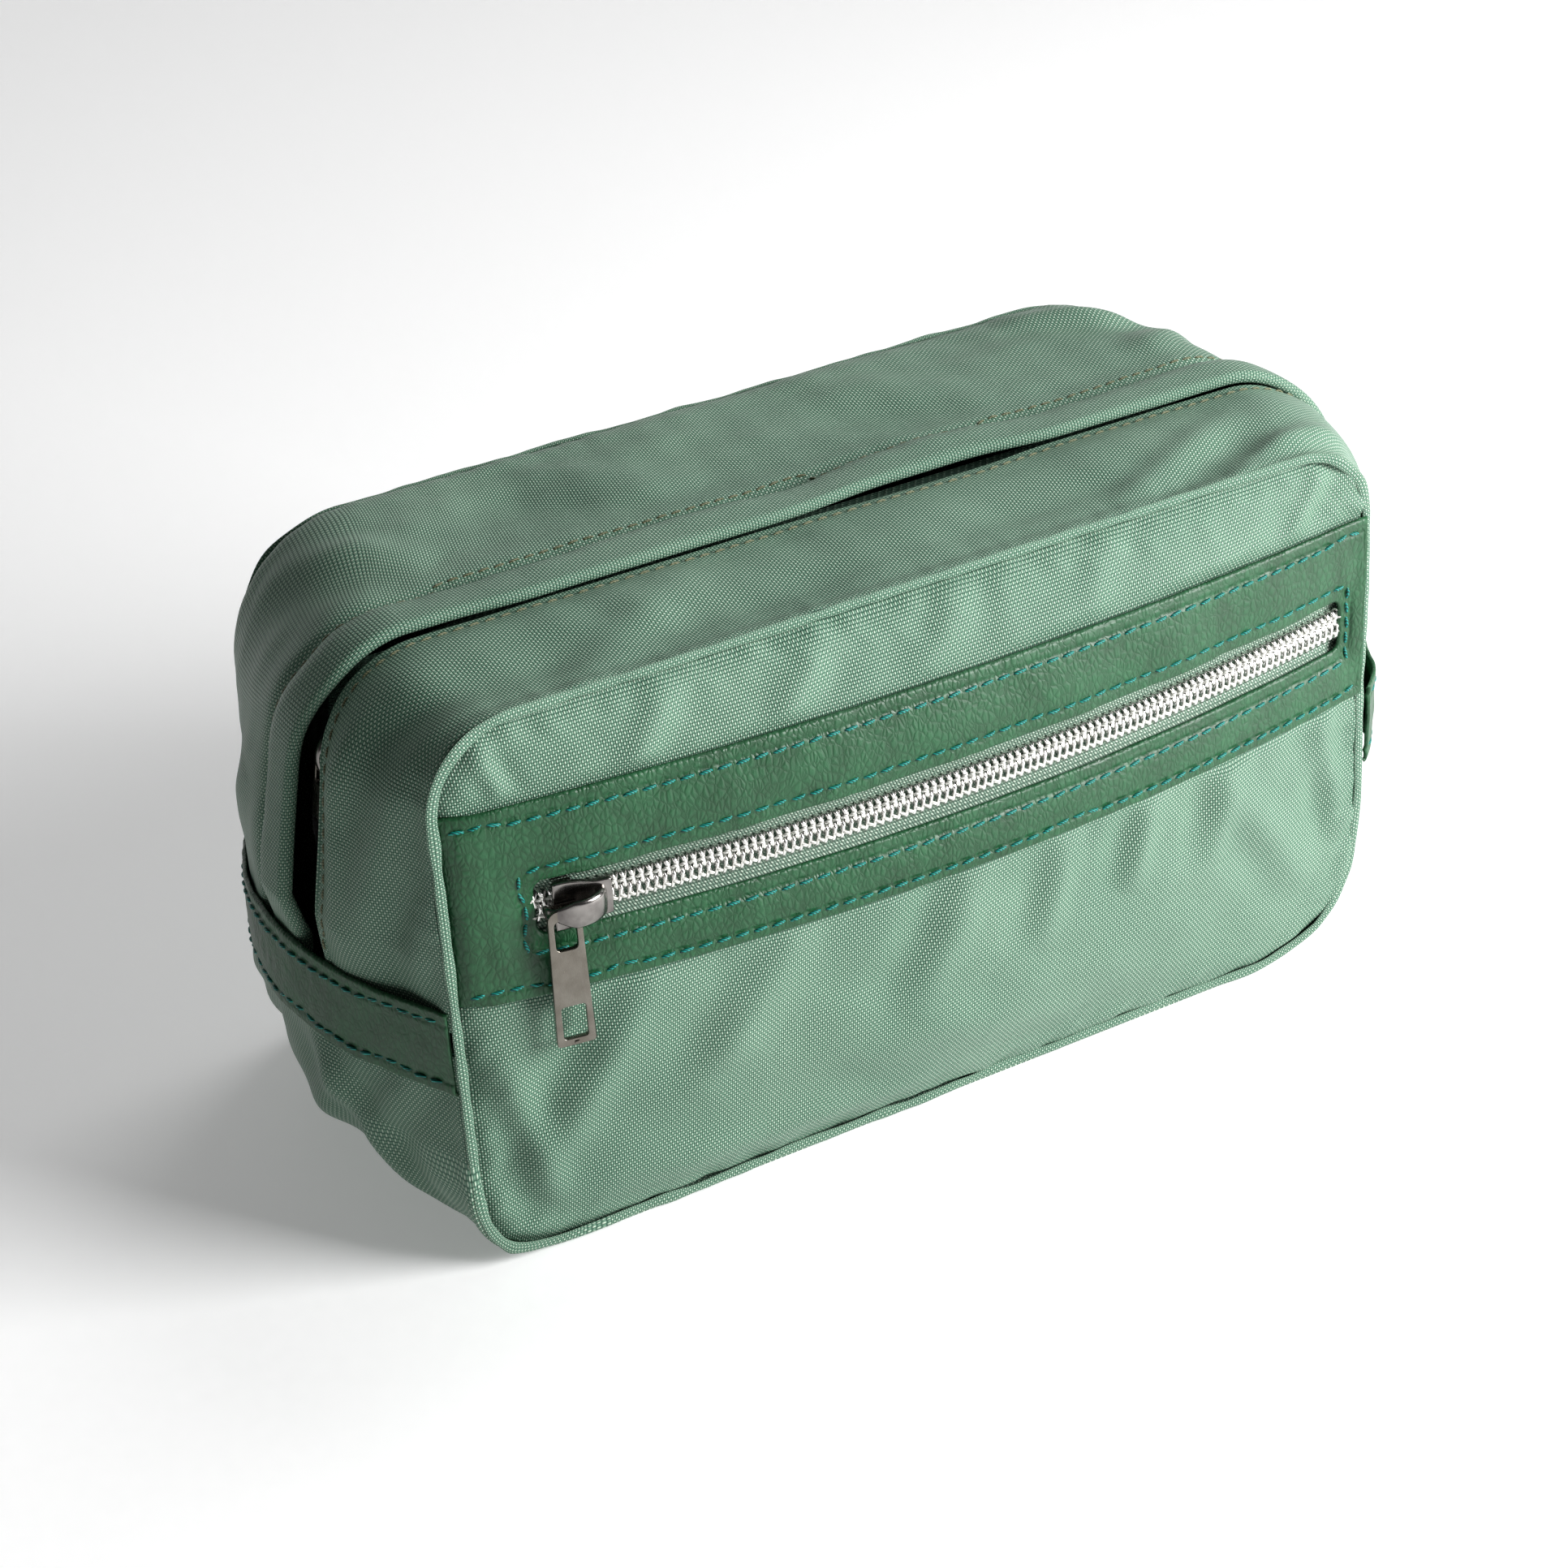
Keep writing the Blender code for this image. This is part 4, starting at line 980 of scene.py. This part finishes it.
# %% Even paths and tubes
def run_lengths(line):
    """The length of a path up to each of its points."""
    return np.concatenate([[0], np.cumsum(np.linalg.norm(np.diff(line, axis=0), axis=1))])


def even(points, step):
    """The same path with points every step mm, to the nearest whole number."""
    points = np.asarray(points, float)
    lengths = run_lengths(points)
    count = max(int(round(lengths[-1] / step)), 1)
    at = np.linspace(0, lengths[-1], count + 1)
    return np.stack([np.interp(at, lengths, points[:, k]) for k in range(3)], -1)


def unit(v):
    return v / np.maximum(np.linalg.norm(v, axis=-1, keepdims=True), 1e-12)


def wrapped(count, sides):
    """A grid to wrap round a path of count points: its steps along and its angles."""
    obj, co = grid(count - 1, sides)
    return obj, np.rint((co[:, 0] + 1) / 2 * (count - 1)).astype(int), (co[:, 1] + 1) * math.pi


def turned(x_axis, y_axis, z_axis, origin):
    """A 4 x 4 matrix from its columns."""
    m = np.eye(4)
    m[:3] = np.stack([x_axis, y_axis, z_axis, origin], -1)
    return m


def tube(name, points, radius, paint, sides):
    """A grid wrapped round a path; radius may change along it, and the ends close."""
    points = np.asarray(points, float)
    tangent = unit(np.gradient(points, axis=0))
    up = np.array([0.31, 0.24, 0.92])
    side = unit(np.cross(tangent, up))
    top = np.cross(side, tangent)
    size = np.broadcast_to(np.asarray(radius, float), len(points)).copy()
    size[0] = size[-1] = 0.02
    obj, i, a = wrapped(len(points), sides)
    round_path = side[i] * np.cos(a)[:, None] + top[i] * np.sin(a)[:, None]
    write_points(obj, metres(points[i] + round_path * size[i][:, None]))
    weld(obj)
    return finish_mesh(obj, name, paint)


def copies(name, pattern, places, paint):
    """Copies of a small mesh's points, each under its own matrix, as one mesh."""
    verts = read_points(pattern)
    faces = [tuple(p.vertices) for p in pattern.data.polygons]
    moved = [verts @ np.array(m)[:3, :3].T + np.array(m)[:3, 3] for m in places]
    made = bpy.data.meshes.new(name)
    made.from_pydata(metres(np.concatenate(moved)).tolist(), [],
                     [tuple(v + k * len(verts) for v in face)
                      for k in range(len(places)) for face in faces])
    obj = bpy.data.objects.new(name, made)
    bpy.context.collection.objects.link(obj)
    return finish_mesh(obj, name, paint)


def joined(name, parts, paint, angle=180.0):
    """Several objects as one, with one name and one material."""
    deselect()
    for part in parts:
        part.select_set(True)
    bpy.context.view_layer.objects.active = parts[0]
    bpy.ops.object.join()
    return finish_mesh(bpy.context.object, name, paint, angle)


# %% [markdown]
# ## Stitches
# A machine stitch shows as a dash that rises from one hole and sinks into the next. One
# dash is modelled from a small sphere, pulled long and bent down at its ends, and then
# copied along each row.

# %% Rows of stitches
def dash(length, radius, sink):
    """One stitch along x, bent down by sink mm at its ends."""
    deselect()
    bpy.ops.mesh.primitive_uv_sphere_add(segments=8, ring_count=8, radius=1)
    obj = bpy.context.object
    co = read_points(obj)
    f = co[:, 2]
    thick = radius * (0.55 + 0.45 * (1 - f * f))
    reach = np.maximum(np.hypot(co[:, 0], co[:, 1]), 0.2)
    write_points(obj, np.stack([f * length / 2, co[:, 0] / reach * thick,
                                co[:, 1] / reach * thick - sink * f ** 4], -1))
    return obj


def settle(points, cloth, lift):
    """Moves each point in mm to the nearest place on a finished piece of cloth."""
    moved, normals = [], []
    for p in metres(points):
        _, at, normal, _ = cloth.closest_point_on_mesh(Vector(p))
        moved.append(np.array(at) * 1000 + (SHIFT_X, SHIFT_Y, 0) + np.array(normal) * lift)
        normals.append(np.array(normal))
    return np.array(moved), np.array(normals)


def stitch_row(name, cloth, points, paint, seed, pitch=3.6, length=2.9, radius=0.33):
    """Dashes along a path in mm, settled on the cloth and set a little slanting."""
    at = even(settle(points, cloth, 0)[0], pitch)
    along = unit(at[1:] - at[:-1])
    middle, normals = settle((at[1:] + at[:-1]) / 2, cloth, 0.16)
    rng = np.random.default_rng(seed)
    pattern = dash(length, radius, 0.45)
    places = []
    for p, t, n in zip(middle, along, normals):
        n = unit(n - t * (n @ t))
        b = np.cross(n, t)
        a = 0.09 + rng.uniform(-0.05, 0.05)
        places.append(turned(t * math.cos(a) + b * math.sin(a),
                             b * math.cos(a) - t * math.sin(a), n, p))
    obj = copies(name, pattern, places, paint)
    bpy.data.objects.remove(pattern)
    return obj


xs = np.linspace(-98.3, 97.8, 80)
for name, z in (("upper", BAND_HIGH - STITCH_IN), ("lower", BAND_LOW + STITCH_IN)):
    row = stitch_row("front_band_stitches_" + name, BAND, front(xs, z + 0 * xs, 2.5), TEAL, 7)
    claim(row, "bag", "teal_thread", "facing_thread_" + name)

x0, x1 = WINDOW[0] - 2.7, WINDOW[1] + 1.9
z0, z1 = WINDOW[2] - 2.7, WINDOW[3] + 2.7
turns = [(x0, z1), (x1, z1), (x1, z0), (x0, z0), (x0, z1)]
rows = []
for k, (a, b) in enumerate(zip(turns, turns[1:])):
    x, z = between(a, b, np.linspace(0.004, 0.996, 60))
    rows.append(stitch_row("window_stitches_%d" % k, BAND, front(x, z, 2.5), TEAL, 9 + k))
claim(joined("window_stitches", rows, TEAL), "bag", "teal_thread", "window_thread")

for side, s_of in (("left", lambda z: z - BASE_R), ("right", lambda z: RIGHT_FOOT - z)):
    leather_band = bpy.data.objects[side + "_band_leather"]
    for part, z in (("upper", END_HIGH - STITCH_IN), ("lower", END_LOW + STITCH_IN)):
        row = stitch_row(side + "_band_stitches_" + part, leather_band,
                         gusset(s_of(z), np.linspace(-45.4, 45.0, 60), 3.0), TEAL, 11)
        claim(row, "bag", "teal_thread", side + "_band_thread_" + part)

s = np.linspace(36, 329.4, 400)
for sign, side, inset in ((-1, "front", 1.8), (1, "back", 14.0)):
    y = ZIP_Y + sign * (lip_gap(s) + LIP_RADIUS[side] + inset)
    row = stitch_row(side + "_lip_stitches", bpy.data.objects[side + "_lip_cloth"],
                     gusset(s, y, 4.0), OLIVE, 13 + sign, 3.1, 2.5, 0.24)
    claim(row, hinge(side), "olive_thread",
          *[side + "_lip_thread_" + part for part in ("left", "top", "right")])


# %% [markdown]
# ## Coil zips
# A coil zip is one long spring of wire on each side, flattened and sewn to the tape, so
# that the loops of one side sit between those of the other. Each side is built as that
# spring: a path that goes out over the top, turns at the middle, and comes back below.

# %% The coil's path
PITCH = 1.67


def pick(at, places, values):
    """Rows of values read at other places along a path."""
    return np.stack([np.interp(at, places, values[:, k]) for k in range(3)], -1)


def coil_path(line, normal, side, half_step):
    """The wire's path; line: the zip's middle; side: towards the tape; normal: outward.

    One loop is a few places: out from the middle, up, and the share of the pitch."""
    turn = np.array([(2.85, 0.00, 0.00), (2.95, 0.42, 0.05), (2.45, 0.70, 0.14),
                     (1.4, 0.76, 0.30), (0.40, 0.66, 0.40), (-0.40, 0.30, 0.46),
                     (-0.40, -0.25, 0.54), (0.35, -0.60, 0.60), (1.5, -0.72, 0.72),
                     (2.5, -0.66, 0.88), (2.85, -0.35, 0.96)])
    lengths = run_lengths(line)
    count = int(lengths[-1] / PITCH) - 1
    k = np.repeat(np.arange(count), len(turn))
    w, h, f = np.tile(turn, (count, 1)).T
    at = (k + f + (0.5 if half_step else 0.0)) * PITCH
    centre, out, across = [pick(at, lengths, values) for values in (line, normal, side)]
    return centre + unit(across) * w[:, None] + unit(out) * h[:, None]


def coil_radius(count):
    one = np.array([0.38, 0.42, 0.44, 0.42, 0.44, 0.50, 0.50, 0.40, 0.34, 0.34, 0.36])
    return np.tile(one, count // len(one) + 1)[:count]


def zip_lines():
    """Middle, outward and tape directions of both zips."""
    s = np.concatenate([np.linspace(22, 73, 60), np.linspace(74, 99, 14),
                        np.linspace(100, 265, 120), np.linspace(266, 292, 14),
                        np.linspace(293, 344, 60)])
    lift = 1.5 * np.clip((s - 104) / 14, 0, 1) * np.clip((262 - s) / 14, 0, 1)
    top = gusset(s, ZIP_Y + 0 * s, -CHAIN_DEPTH + lift, r_top=5.4, flat_y=ZIP_Y)
    x = np.linspace(WINDOW[0] - 4.6, WINDOW[1] + 4.6, 164)
    front_line = np.stack([x, -DEPTH / 2 - BAND_BOW * plan(x) + 1.5, 76.6 + 0 * x], -1)
    lines = []
    for line, to_tape in ((top, (0.0, 1.0, 0.0)), (front_line, (0.0, 0.0, 1.0))):
        across = np.tile(to_tape, (len(line), 1))
        outward = unit(np.cross(unit(np.gradient(line, axis=0)), across))
        lines.append((line, outward, across))
    return lines


MAIN_ZIP, POCKET_ZIP = zip_lines()
print("zip lengths, mm:", [round(float(run_lengths(z[0])[-1])) for z in (MAIN_ZIP, POCKET_ZIP)])


# %% Coils and tapes
def coil(name, zip_line, sign, body, nodes):
    """The wire spring of one side, and the thread that sews it down."""
    line, out, side = zip_line
    path = coil_path(line, out, side * sign, sign > 0)
    spring = tube(name, path, coil_radius(len(path)), COIL, 6)
    across = unit(side) * sign
    at = even(line + across * 1.75 + unit(out) * 1.06, PITCH)
    centres = (at[1:] + at[:-1]) / 2
    near = [np.argmin(np.linalg.norm(line - p, axis=1)) for p in centres]
    pattern = dash(1.75, 0.34, 0.5)
    places = []
    for p, t, k in zip(centres, unit(at[1:] - at[:-1]), near):
        n = unit(out[k] - t * (out[k] @ t))
        b = np.cross(n, t)
        c, lean = math.cos(0.5 * sign), math.sin(0.5 * sign)
        places.append(turned(t * c + b * lean, b * c - t * lean, n, p))
    sewn = copies(name + "_thread", pattern, places, COIL_THREAD)
    bpy.data.objects.remove(pattern)
    claim(sewn, body, "coil")
    return claim(spring, body, "coil", *nodes)


def tape(name, zip_line, sign, paint, body, slot, nodes, follow_front=False):
    """A woven strip from the coil out; on the pocket its edge follows the front."""
    reach = 10.3
    line, out, side = zip_line
    side = side * sign
    columns = len(line) - 1

    def lay(u, v):
        i = np.clip(u * columns, 0, columns)
        steps = np.arange(columns + 1)
        w = 0.45 + (reach - 0.45) * v
        lift = np.where(w < 3.6, -1.02, -0.62 - 0.25 * np.exp(-((w - 3.6) / 0.7) ** 2))
        lift = lift + 0.10 * np.exp(-((w - 4.6) / 0.25) ** 2)
        p = pick(i, steps, line) + unit(pick(i, steps, side)) * w[:, None]
        p = p + unit(pick(i, steps, out)) * lift[:, None]
        if follow_front:
            flat = front(p[:, 0], p[:, 2], -1.1)
            share = np.clip((w - 5.2) / 1.2, 0, 1)
            p[:, 1] = p[:, 1] * (1 - share) + flat[:, 1] * share
        return p

    def yarn(u, v):
        return sign * (0.45 + (reach - 0.45) * v), u * run_lengths(line)[-1]

    away = (0, 900, 57) if follow_front else (0, 0, 50)
    obj = laid(name, (columns, 26), lay, paint, None, away, 0.45, yarn)
    return claim(obj, body, slot, *nodes)


for sign, side in ((-1, "front"), (1, "back")):
    body, parts = hinge(side, 0.1040, 0.1083), ("left", "top", "right")
    coil("main_coil_" + side, MAIN_ZIP, sign, body,
         ["main_teeth_" + side + "_" + part for part in parts])
    tape("main_tape_cloth_" + side, MAIN_ZIP, sign, SHADED_TAPE, body, "dark_tape",
         ["main_tape_" + side + "_" + part for part in parts])
for sign, side in ((-1, "lower"), (1, "upper")):
    coil("pocket_coil_" + side, POCKET_ZIP, sign, "bag", ["pocket_teeth_" + side])
    tape("pocket_tape_cloth_" + side, POCKET_ZIP, sign, TAPE, "bag", "tape",
         ["pocket_tape_" + side], True)


# %% [markdown]
# ## Sliders
# A cast slider has two rounded plates joined by a post, side walls that hold the coil in,
# and a crown that the pull hangs from. The plates are outlines given a bevelled edge, and
# the walls and the post are bars with every edge bevelled.

# %% Bevelled plates and slider frames
def slab(name, outlines, low, high, bevel, paint, matrix):
    """A flat plate between two heights of a frame in mm, with bevelled rims."""
    curve = bpy.data.curves.new(name, "CURVE")
    curve.dimensions = "2D"
    curve.fill_mode = "BOTH"
    curve.extrude = (high - low) / 2 - bevel
    curve.bevel_depth = bevel
    curve.bevel_resolution = 3
    curve.offset = -bevel
    for outline in outlines:
        spline = curve.splines.new("POLY")
        spline.points.add(len(outline) - 1)
        for target, (x, y) in zip(spline.points, outline):
            target.co = (x, y, 0, 1)
        spline.use_cyclic_u = True
    obj = bpy.data.objects.new(name, curve)
    bpy.context.collection.objects.link(obj)
    only(obj)
    bpy.ops.object.convert(target="MESH")
    obj = bpy.context.object
    co = read_points(obj)
    co[:, 2] += (low + high) / 2
    put(obj, co, matrix)
    weld(obj)
    return finish_mesh(obj, name, paint, 32)


def put(obj, points, matrix):
    """Writes points given in mm of a frame."""
    m = np.array(matrix)
    write_points(obj, (points @ m[:3, :3].T + m[:3, 3]) * 0.001)


def frame_at(origin, x_axis, y_axis):
    """A frame with its origin in mm of the model's own frame."""
    return turned(x_axis, y_axis, np.cross(x_axis, y_axis), origin)


def smooth_outline(points):
    """A closed outline with its corners cut twice, so it curves evenly."""
    p = np.array(points, float)
    for _ in range(2):
        nxt = np.roll(p, -1, axis=0)
        p = np.stack([p * 0.75 + nxt * 0.25, p * 0.25 + nxt * 0.75], 1).reshape(-1, 2)
    return p


def rounded_box(x0, x1, y0, y1, r, steps=5):
    points = []
    for cx, cy, start in ((x1 - r, y1 - r, 0), (x0 + r, y1 - r, 90),
                          (x0 + r, y0 + r, 180), (x1 - r, y0 + r, 270)):
        for i in range(steps + 1):
            a = math.radians(start + 90 * i / steps)
            points.append((cx + r * math.cos(a), cy + r * math.sin(a)))
    return points


POCKET_FRAME = frame_at((-80.640, -47.475, 76.6), (0.98715, -0.15981, 0), (0, 0, 1))
MAIN_FRAME = frame_at((-105.798, -11.002, 96.8), (0.169836, 0, 0.985472), (0, 1, 0))
PLATE_SHAPE = smooth_outline(((-6.5, -3.6), (-5.4, -4.9), (-1.0, -4.9), (3.0, -3.7),
                              (6.2, -3.7), (6.5, -3.2), (6.5, 3.2), (6.2, 3.7), (3.0, 3.7),
                              (-1.0, 4.9), (-5.4, 4.9), (-6.5, 3.6)))


# %% The two sliders
def rod(name, low, high, bevel, matrix, paint):
    """A bar from low to high in a frame, with every edge bevelled."""
    deselect()
    bpy.ops.mesh.primitive_cube_add(size=1)
    obj = bpy.context.object
    low, high = np.array(low, float), np.array(high, float)
    write_points(obj, (read_points(obj)) * (high - low) + (low + high) / 2)
    edge = obj.modifiers.new("edge", "BEVEL")
    edge.width, edge.segments = bevel, 2
    only(obj)
    bpy.ops.object.modifier_apply(modifier=edge.name)
    put(obj, read_points(obj), matrix)
    return finish_mesh(obj, name, paint, 32)


def slider(prefix, matrix):
    shown = PLATE_SHAPE.copy()
    shown[:, 0] = np.maximum(shown[:, 0], -4.6 + 0.25 * np.abs(shown[:, 1]) / 5)
    body = [slab(prefix + "_plate", [shown], 1.32, 2.5, 0.3, SLIDER, matrix),
            slab(prefix + "_plate_low", [PLATE_SHAPE], -2.5, -1.32, 0.35, SLIDER, matrix),
            rod(prefix + "_post", (-3.5, -0.25, -1.7), (3.4, 0.25, 1.7), 0.05, matrix, SLIDER)]
    for side in (-1, 1):
        for level in (-1, 1):
            y = sorted((side * 3.95, side * 4.85))
            z = sorted((level * 0.62, level * 1.7))
            body.append(rod(prefix + "_wall", (-4.0, y[0], z[0]), (-0.6, y[1], z[1]), 0.2,
                            matrix, SLIDER))
    obj = joined(prefix + "_slider_plates", body, SLIDER, 32)
    claim(obj, prefix + "_slider", "slider_metal", prefix + "_slider_body")


slider("pocket", POCKET_FRAME)
slider("main", MAIN_FRAME)


# %% [markdown]
# The crown is a strap that rises from one end of the plate, runs level over the lock
# spring and comes down at the other end. On the pocket zip it swells into a hood. Its
# cross-section is rounded, and it narrows where the pull's loop turns round it.

# %% The crowns
def strap(name, path, widths, thick, matrix, paint):
    """A rounded strap along a path in the frame's X-Z plane, with closed ends."""
    path = np.array(path, float)
    tangent = unit(np.gradient(path, axis=0))
    lift = np.stack([-tangent[:, 1], tangent[:, 0]], -1)
    obj, i, a = wrapped(len(path), 16)
    c, n = np.cos(a), np.sin(a)
    wide = np.asarray(widths, float)[i] / 2 * np.sign(c) * np.abs(c) ** 0.55
    tall = np.asarray(thick, float)[i] / 2 * np.sign(n) * np.abs(n) ** np.where(n > 0, 0.9, 0.5)
    x = path[i, 0] + lift[i, 0] * tall
    z = path[i, 1] + lift[i, 1] * tall
    put(obj, np.stack([x, wide, z], -1), matrix)
    weld(obj)
    bpy.ops.object.mode_set(mode="EDIT")
    bpy.ops.mesh.select_all(action="DESELECT")
    bpy.ops.mesh.select_non_manifold()
    bpy.ops.mesh.fill_holes(sides=0)
    bpy.ops.mesh.select_all(action="SELECT")
    bpy.ops.mesh.normals_make_consistent(inside=False)
    bpy.ops.object.mode_set(mode="OBJECT")
    return finish_mesh(obj, name, paint, 60)


def crown(prefix, matrix, path, widths, thick):
    obj = strap(prefix + "_slider_hood", path, widths, thick, matrix, SLIDER)
    claim(obj, prefix + "_slider", "slider_metal", prefix + "_slider_crown")


t = np.linspace(0, 1, 33)
hood_path = np.stack([-6.1 + 10.6 * t, 2.45 + 3.55 * np.sin(np.pi * t) ** 0.55], -1)
swell = 2.3 + 3.0 * np.clip((t - 0.12) / 0.3, 0, 1) ** 0.8 + 0.2 * t
crown("pocket", POCKET_FRAME, hood_path, swell, 0.9 + 0.9 * np.clip((t - 0.4) / 0.5, 0, 1))
arch_path = np.stack([-4.6 + 9.2 * t, 2.45 + 3.1 * np.sin(np.pi * t) ** 0.5], -1)
crown("main", MAIN_FRAME, arch_path, 2.2 + 0.5 * np.cos(2 * np.pi * t), 0.9 + 0 * t)


# %% [markdown]
# ## Pulls
# A pull is a stamped and tumbled plate: a loop that goes round the crown, a solid waist
# and, on the long one, a window near the end. Its rims are bevelled, and a small nub
# stands on the end bar.

# %% The two pulls
def pull(prefix, hinge, x_axis, y_axis, length, top, end):
    matrix = frame_at(hinge, x_axis, y_axis)
    upper, foot = 1.15, -length + 1.3
    outer = [(top / 2 * math.sin(a), upper - 2.0 + 2.0 * math.cos(a))
             for a in np.linspace(-math.pi / 2, math.pi / 2, 15)]
    outer = [(np.sign(x) * top / 2 * abs(x / (top / 2)) ** 0.55, y) for x, y in outer]
    outer += [(end / 2, foot + 0.7), (end / 2 - 0.2, foot + 0.2), (end / 2 - 0.7, foot),
              (-end / 2 + 0.7, foot), (-end / 2 + 0.2, foot + 0.2), (-end / 2, foot + 0.7)]
    eye_end = -upper - (6.2 if length > 20 else 4.6)
    holes = [rounded_box(-top / 2 + 1.05, top / 2 - 1.05, eye_end, -upper, 0.9)]
    if length > 20:
        holes.append(rounded_box(-end / 2 + 1.35, end / 2 - 1.35, foot + 1.5, foot + 8.4, 0.6))
    parts = [slab(prefix + "_plate_of_pull", [outer] + holes, -0.52, 0.52, 0.18, PULL, matrix)]
    if length > 20:
        parts.append(rod(prefix + "_nub", (-0.5, foot + 0.35, -0.3),
                         (0.5, foot + 0.95, 0.78), 0.2, matrix, PULL))
    return claim(joined(prefix + "_pull_tab", parts, PULL, 32), prefix + "_pull", "pull_metal",
                 prefix + "_pull")


pull("pocket", (-84.740, -51.522, 76.6), (0.987148, -0.159811, 0), (0, 0, 1), 29.0, 6.2, 7.3)
pull("main", (-110.380, -11.002, 97.590), (0, -1, 0), (0.169836, 0, 0.985472), 14.0, 5.5, 5.7)


# %% [markdown]
# ## Inside
# The lining is a soft tub, seen when the flaps open. It starts as a cube without its
# lid, is cut into small faces, filled out to the bag's shape and creased. The pocket has
# its own flat pouch behind the window, and narrow bindings cover the seams.

# %% The lining, pouch and bindings
def box_without(name, cuts, drop):
    """A finely divided cube without the faces that drop picks."""
    deselect()
    bpy.ops.mesh.primitive_cube_add(size=2)
    obj = bpy.context.object
    bpy.ops.object.mode_set(mode="EDIT")
    bpy.ops.mesh.select_all(action="SELECT")
    bpy.ops.mesh.subdivide(number_cuts=cuts)
    bpy.ops.mesh.select_all(action="DESELECT")
    bpy.ops.object.mode_set(mode="OBJECT")
    for face in obj.data.polygons:
        face.select = drop(face)
    bpy.ops.object.mode_set(mode="EDIT")
    bpy.ops.mesh.delete(type="FACE")
    bpy.ops.object.mode_set(mode="OBJECT")
    obj.name = name
    return obj


def lining():
    obj = box_without("lining_cloth_tub", 47, lambda face: face.normal.z > 0.9)
    a, b, c = read_points(obj).T
    z = 3.4 + 98.1 * (c + 1) / 2
    tuck = 22.0 * np.maximum(0, 1 - (z - 3.4) / 22.0) ** 2
    bulge = plan(a * WIDTH / 2)
    low = -DEPTH / 2 + 14.8 - FRONT_BOW * rise(z) * bulge
    high = DEPTH / 2 - 2.4 + BACK_BOW * rise(z) * 0.5 * bulge
    y = low + (high - low) * (b * (1 - 0.05 * a * a) + 1) / 2
    t = (y + DEPTH / 2) / DEPTH
    bow = np.where(a > 0, np.interp(z, *RIGHT_BOW), np.interp(z, *LEFT_BOW) - 1.2)
    bow = bow * 4 * t * (1 - t)
    x = a * (WIDTH / 2 - 10.8 - tuck + bow) * (1 - 0.05 * b * b)
    along = np.arctan2(b, a) * 60
    crease = 0.9 * ripple(along, z, 26, 131) + 0.5 * ripple(x, y, 14, 132)
    crease = crease + 0.3 * ripple(z, along, 7, 133)
    deep = np.clip((101.5 - z) / 6, 0, 1)
    centre = np.stack([x * 0, y * 0 + 2, z * 0 + 55], -1)
    p = np.stack([x, y, z], -1)
    p = p + unit(centre - p) * ((1.15 + 0.8 * crease) * (0.3 + 0.7 * deep))[:, None]
    write_points(obj, metres(p))
    store_uv(obj, np.stack([along + x * 0.3, z + y * 0.4], -1) / 100)
    thicken(obj, 0.6)
    claim(finish_mesh(obj, "lining_cloth_tub", LINING), "bag", "lining", "lining_tub")


lining()


def pouch():
    def mouth(face):
        x, _, z = face.center
        return face.normal.y < -0.9 and abs(z - 0.56) < 0.24 and abs(x) < 0.93

    obj = box_without("pouch_cloth", 27, mouth)
    a, b, c = read_points(obj).T
    x, z = a * 87.6, 57 + 34.6 * c
    depth = 4.7 + 4.1 * (b + 1)
    depth = np.where(b > 0.5, depth - 0.5 * (1 + ripple(x, z, 18, 141)), depth)
    write_points(obj, metres(front(x, z, -depth)))
    store_uv(obj, np.stack([x, z], -1) / 100)
    thicken(obj, 0.5)
    claim(finish_mesh(obj, "pouch_cloth", LINING), "bag", "lining", "pocket_pouch")


pouch()
for sign, side in ((-1, "front"), (1, "back")):
    def binding_lay(u, v, sign=sign):
        s = BASE_R - BASE_RUN * u
        return gusset(s, sign * (41.2 + 4.0 * v), -2.15 - 0.25 * np.sin(np.pi * v))

    def binding_height(u, v):
        return 0.08 * ripple(BASE_RUN * u, v * 4, 5, 151)
    strip = laid(side + "_binding_cloth", (160, 8), binding_lay, LINING, binding_height,
                 (0, 0, 40), 0.5, lambda u, v: (v * 4, BASE_RUN * u))
    claim(strip, "bag", "lining", side + "_seam_binding")
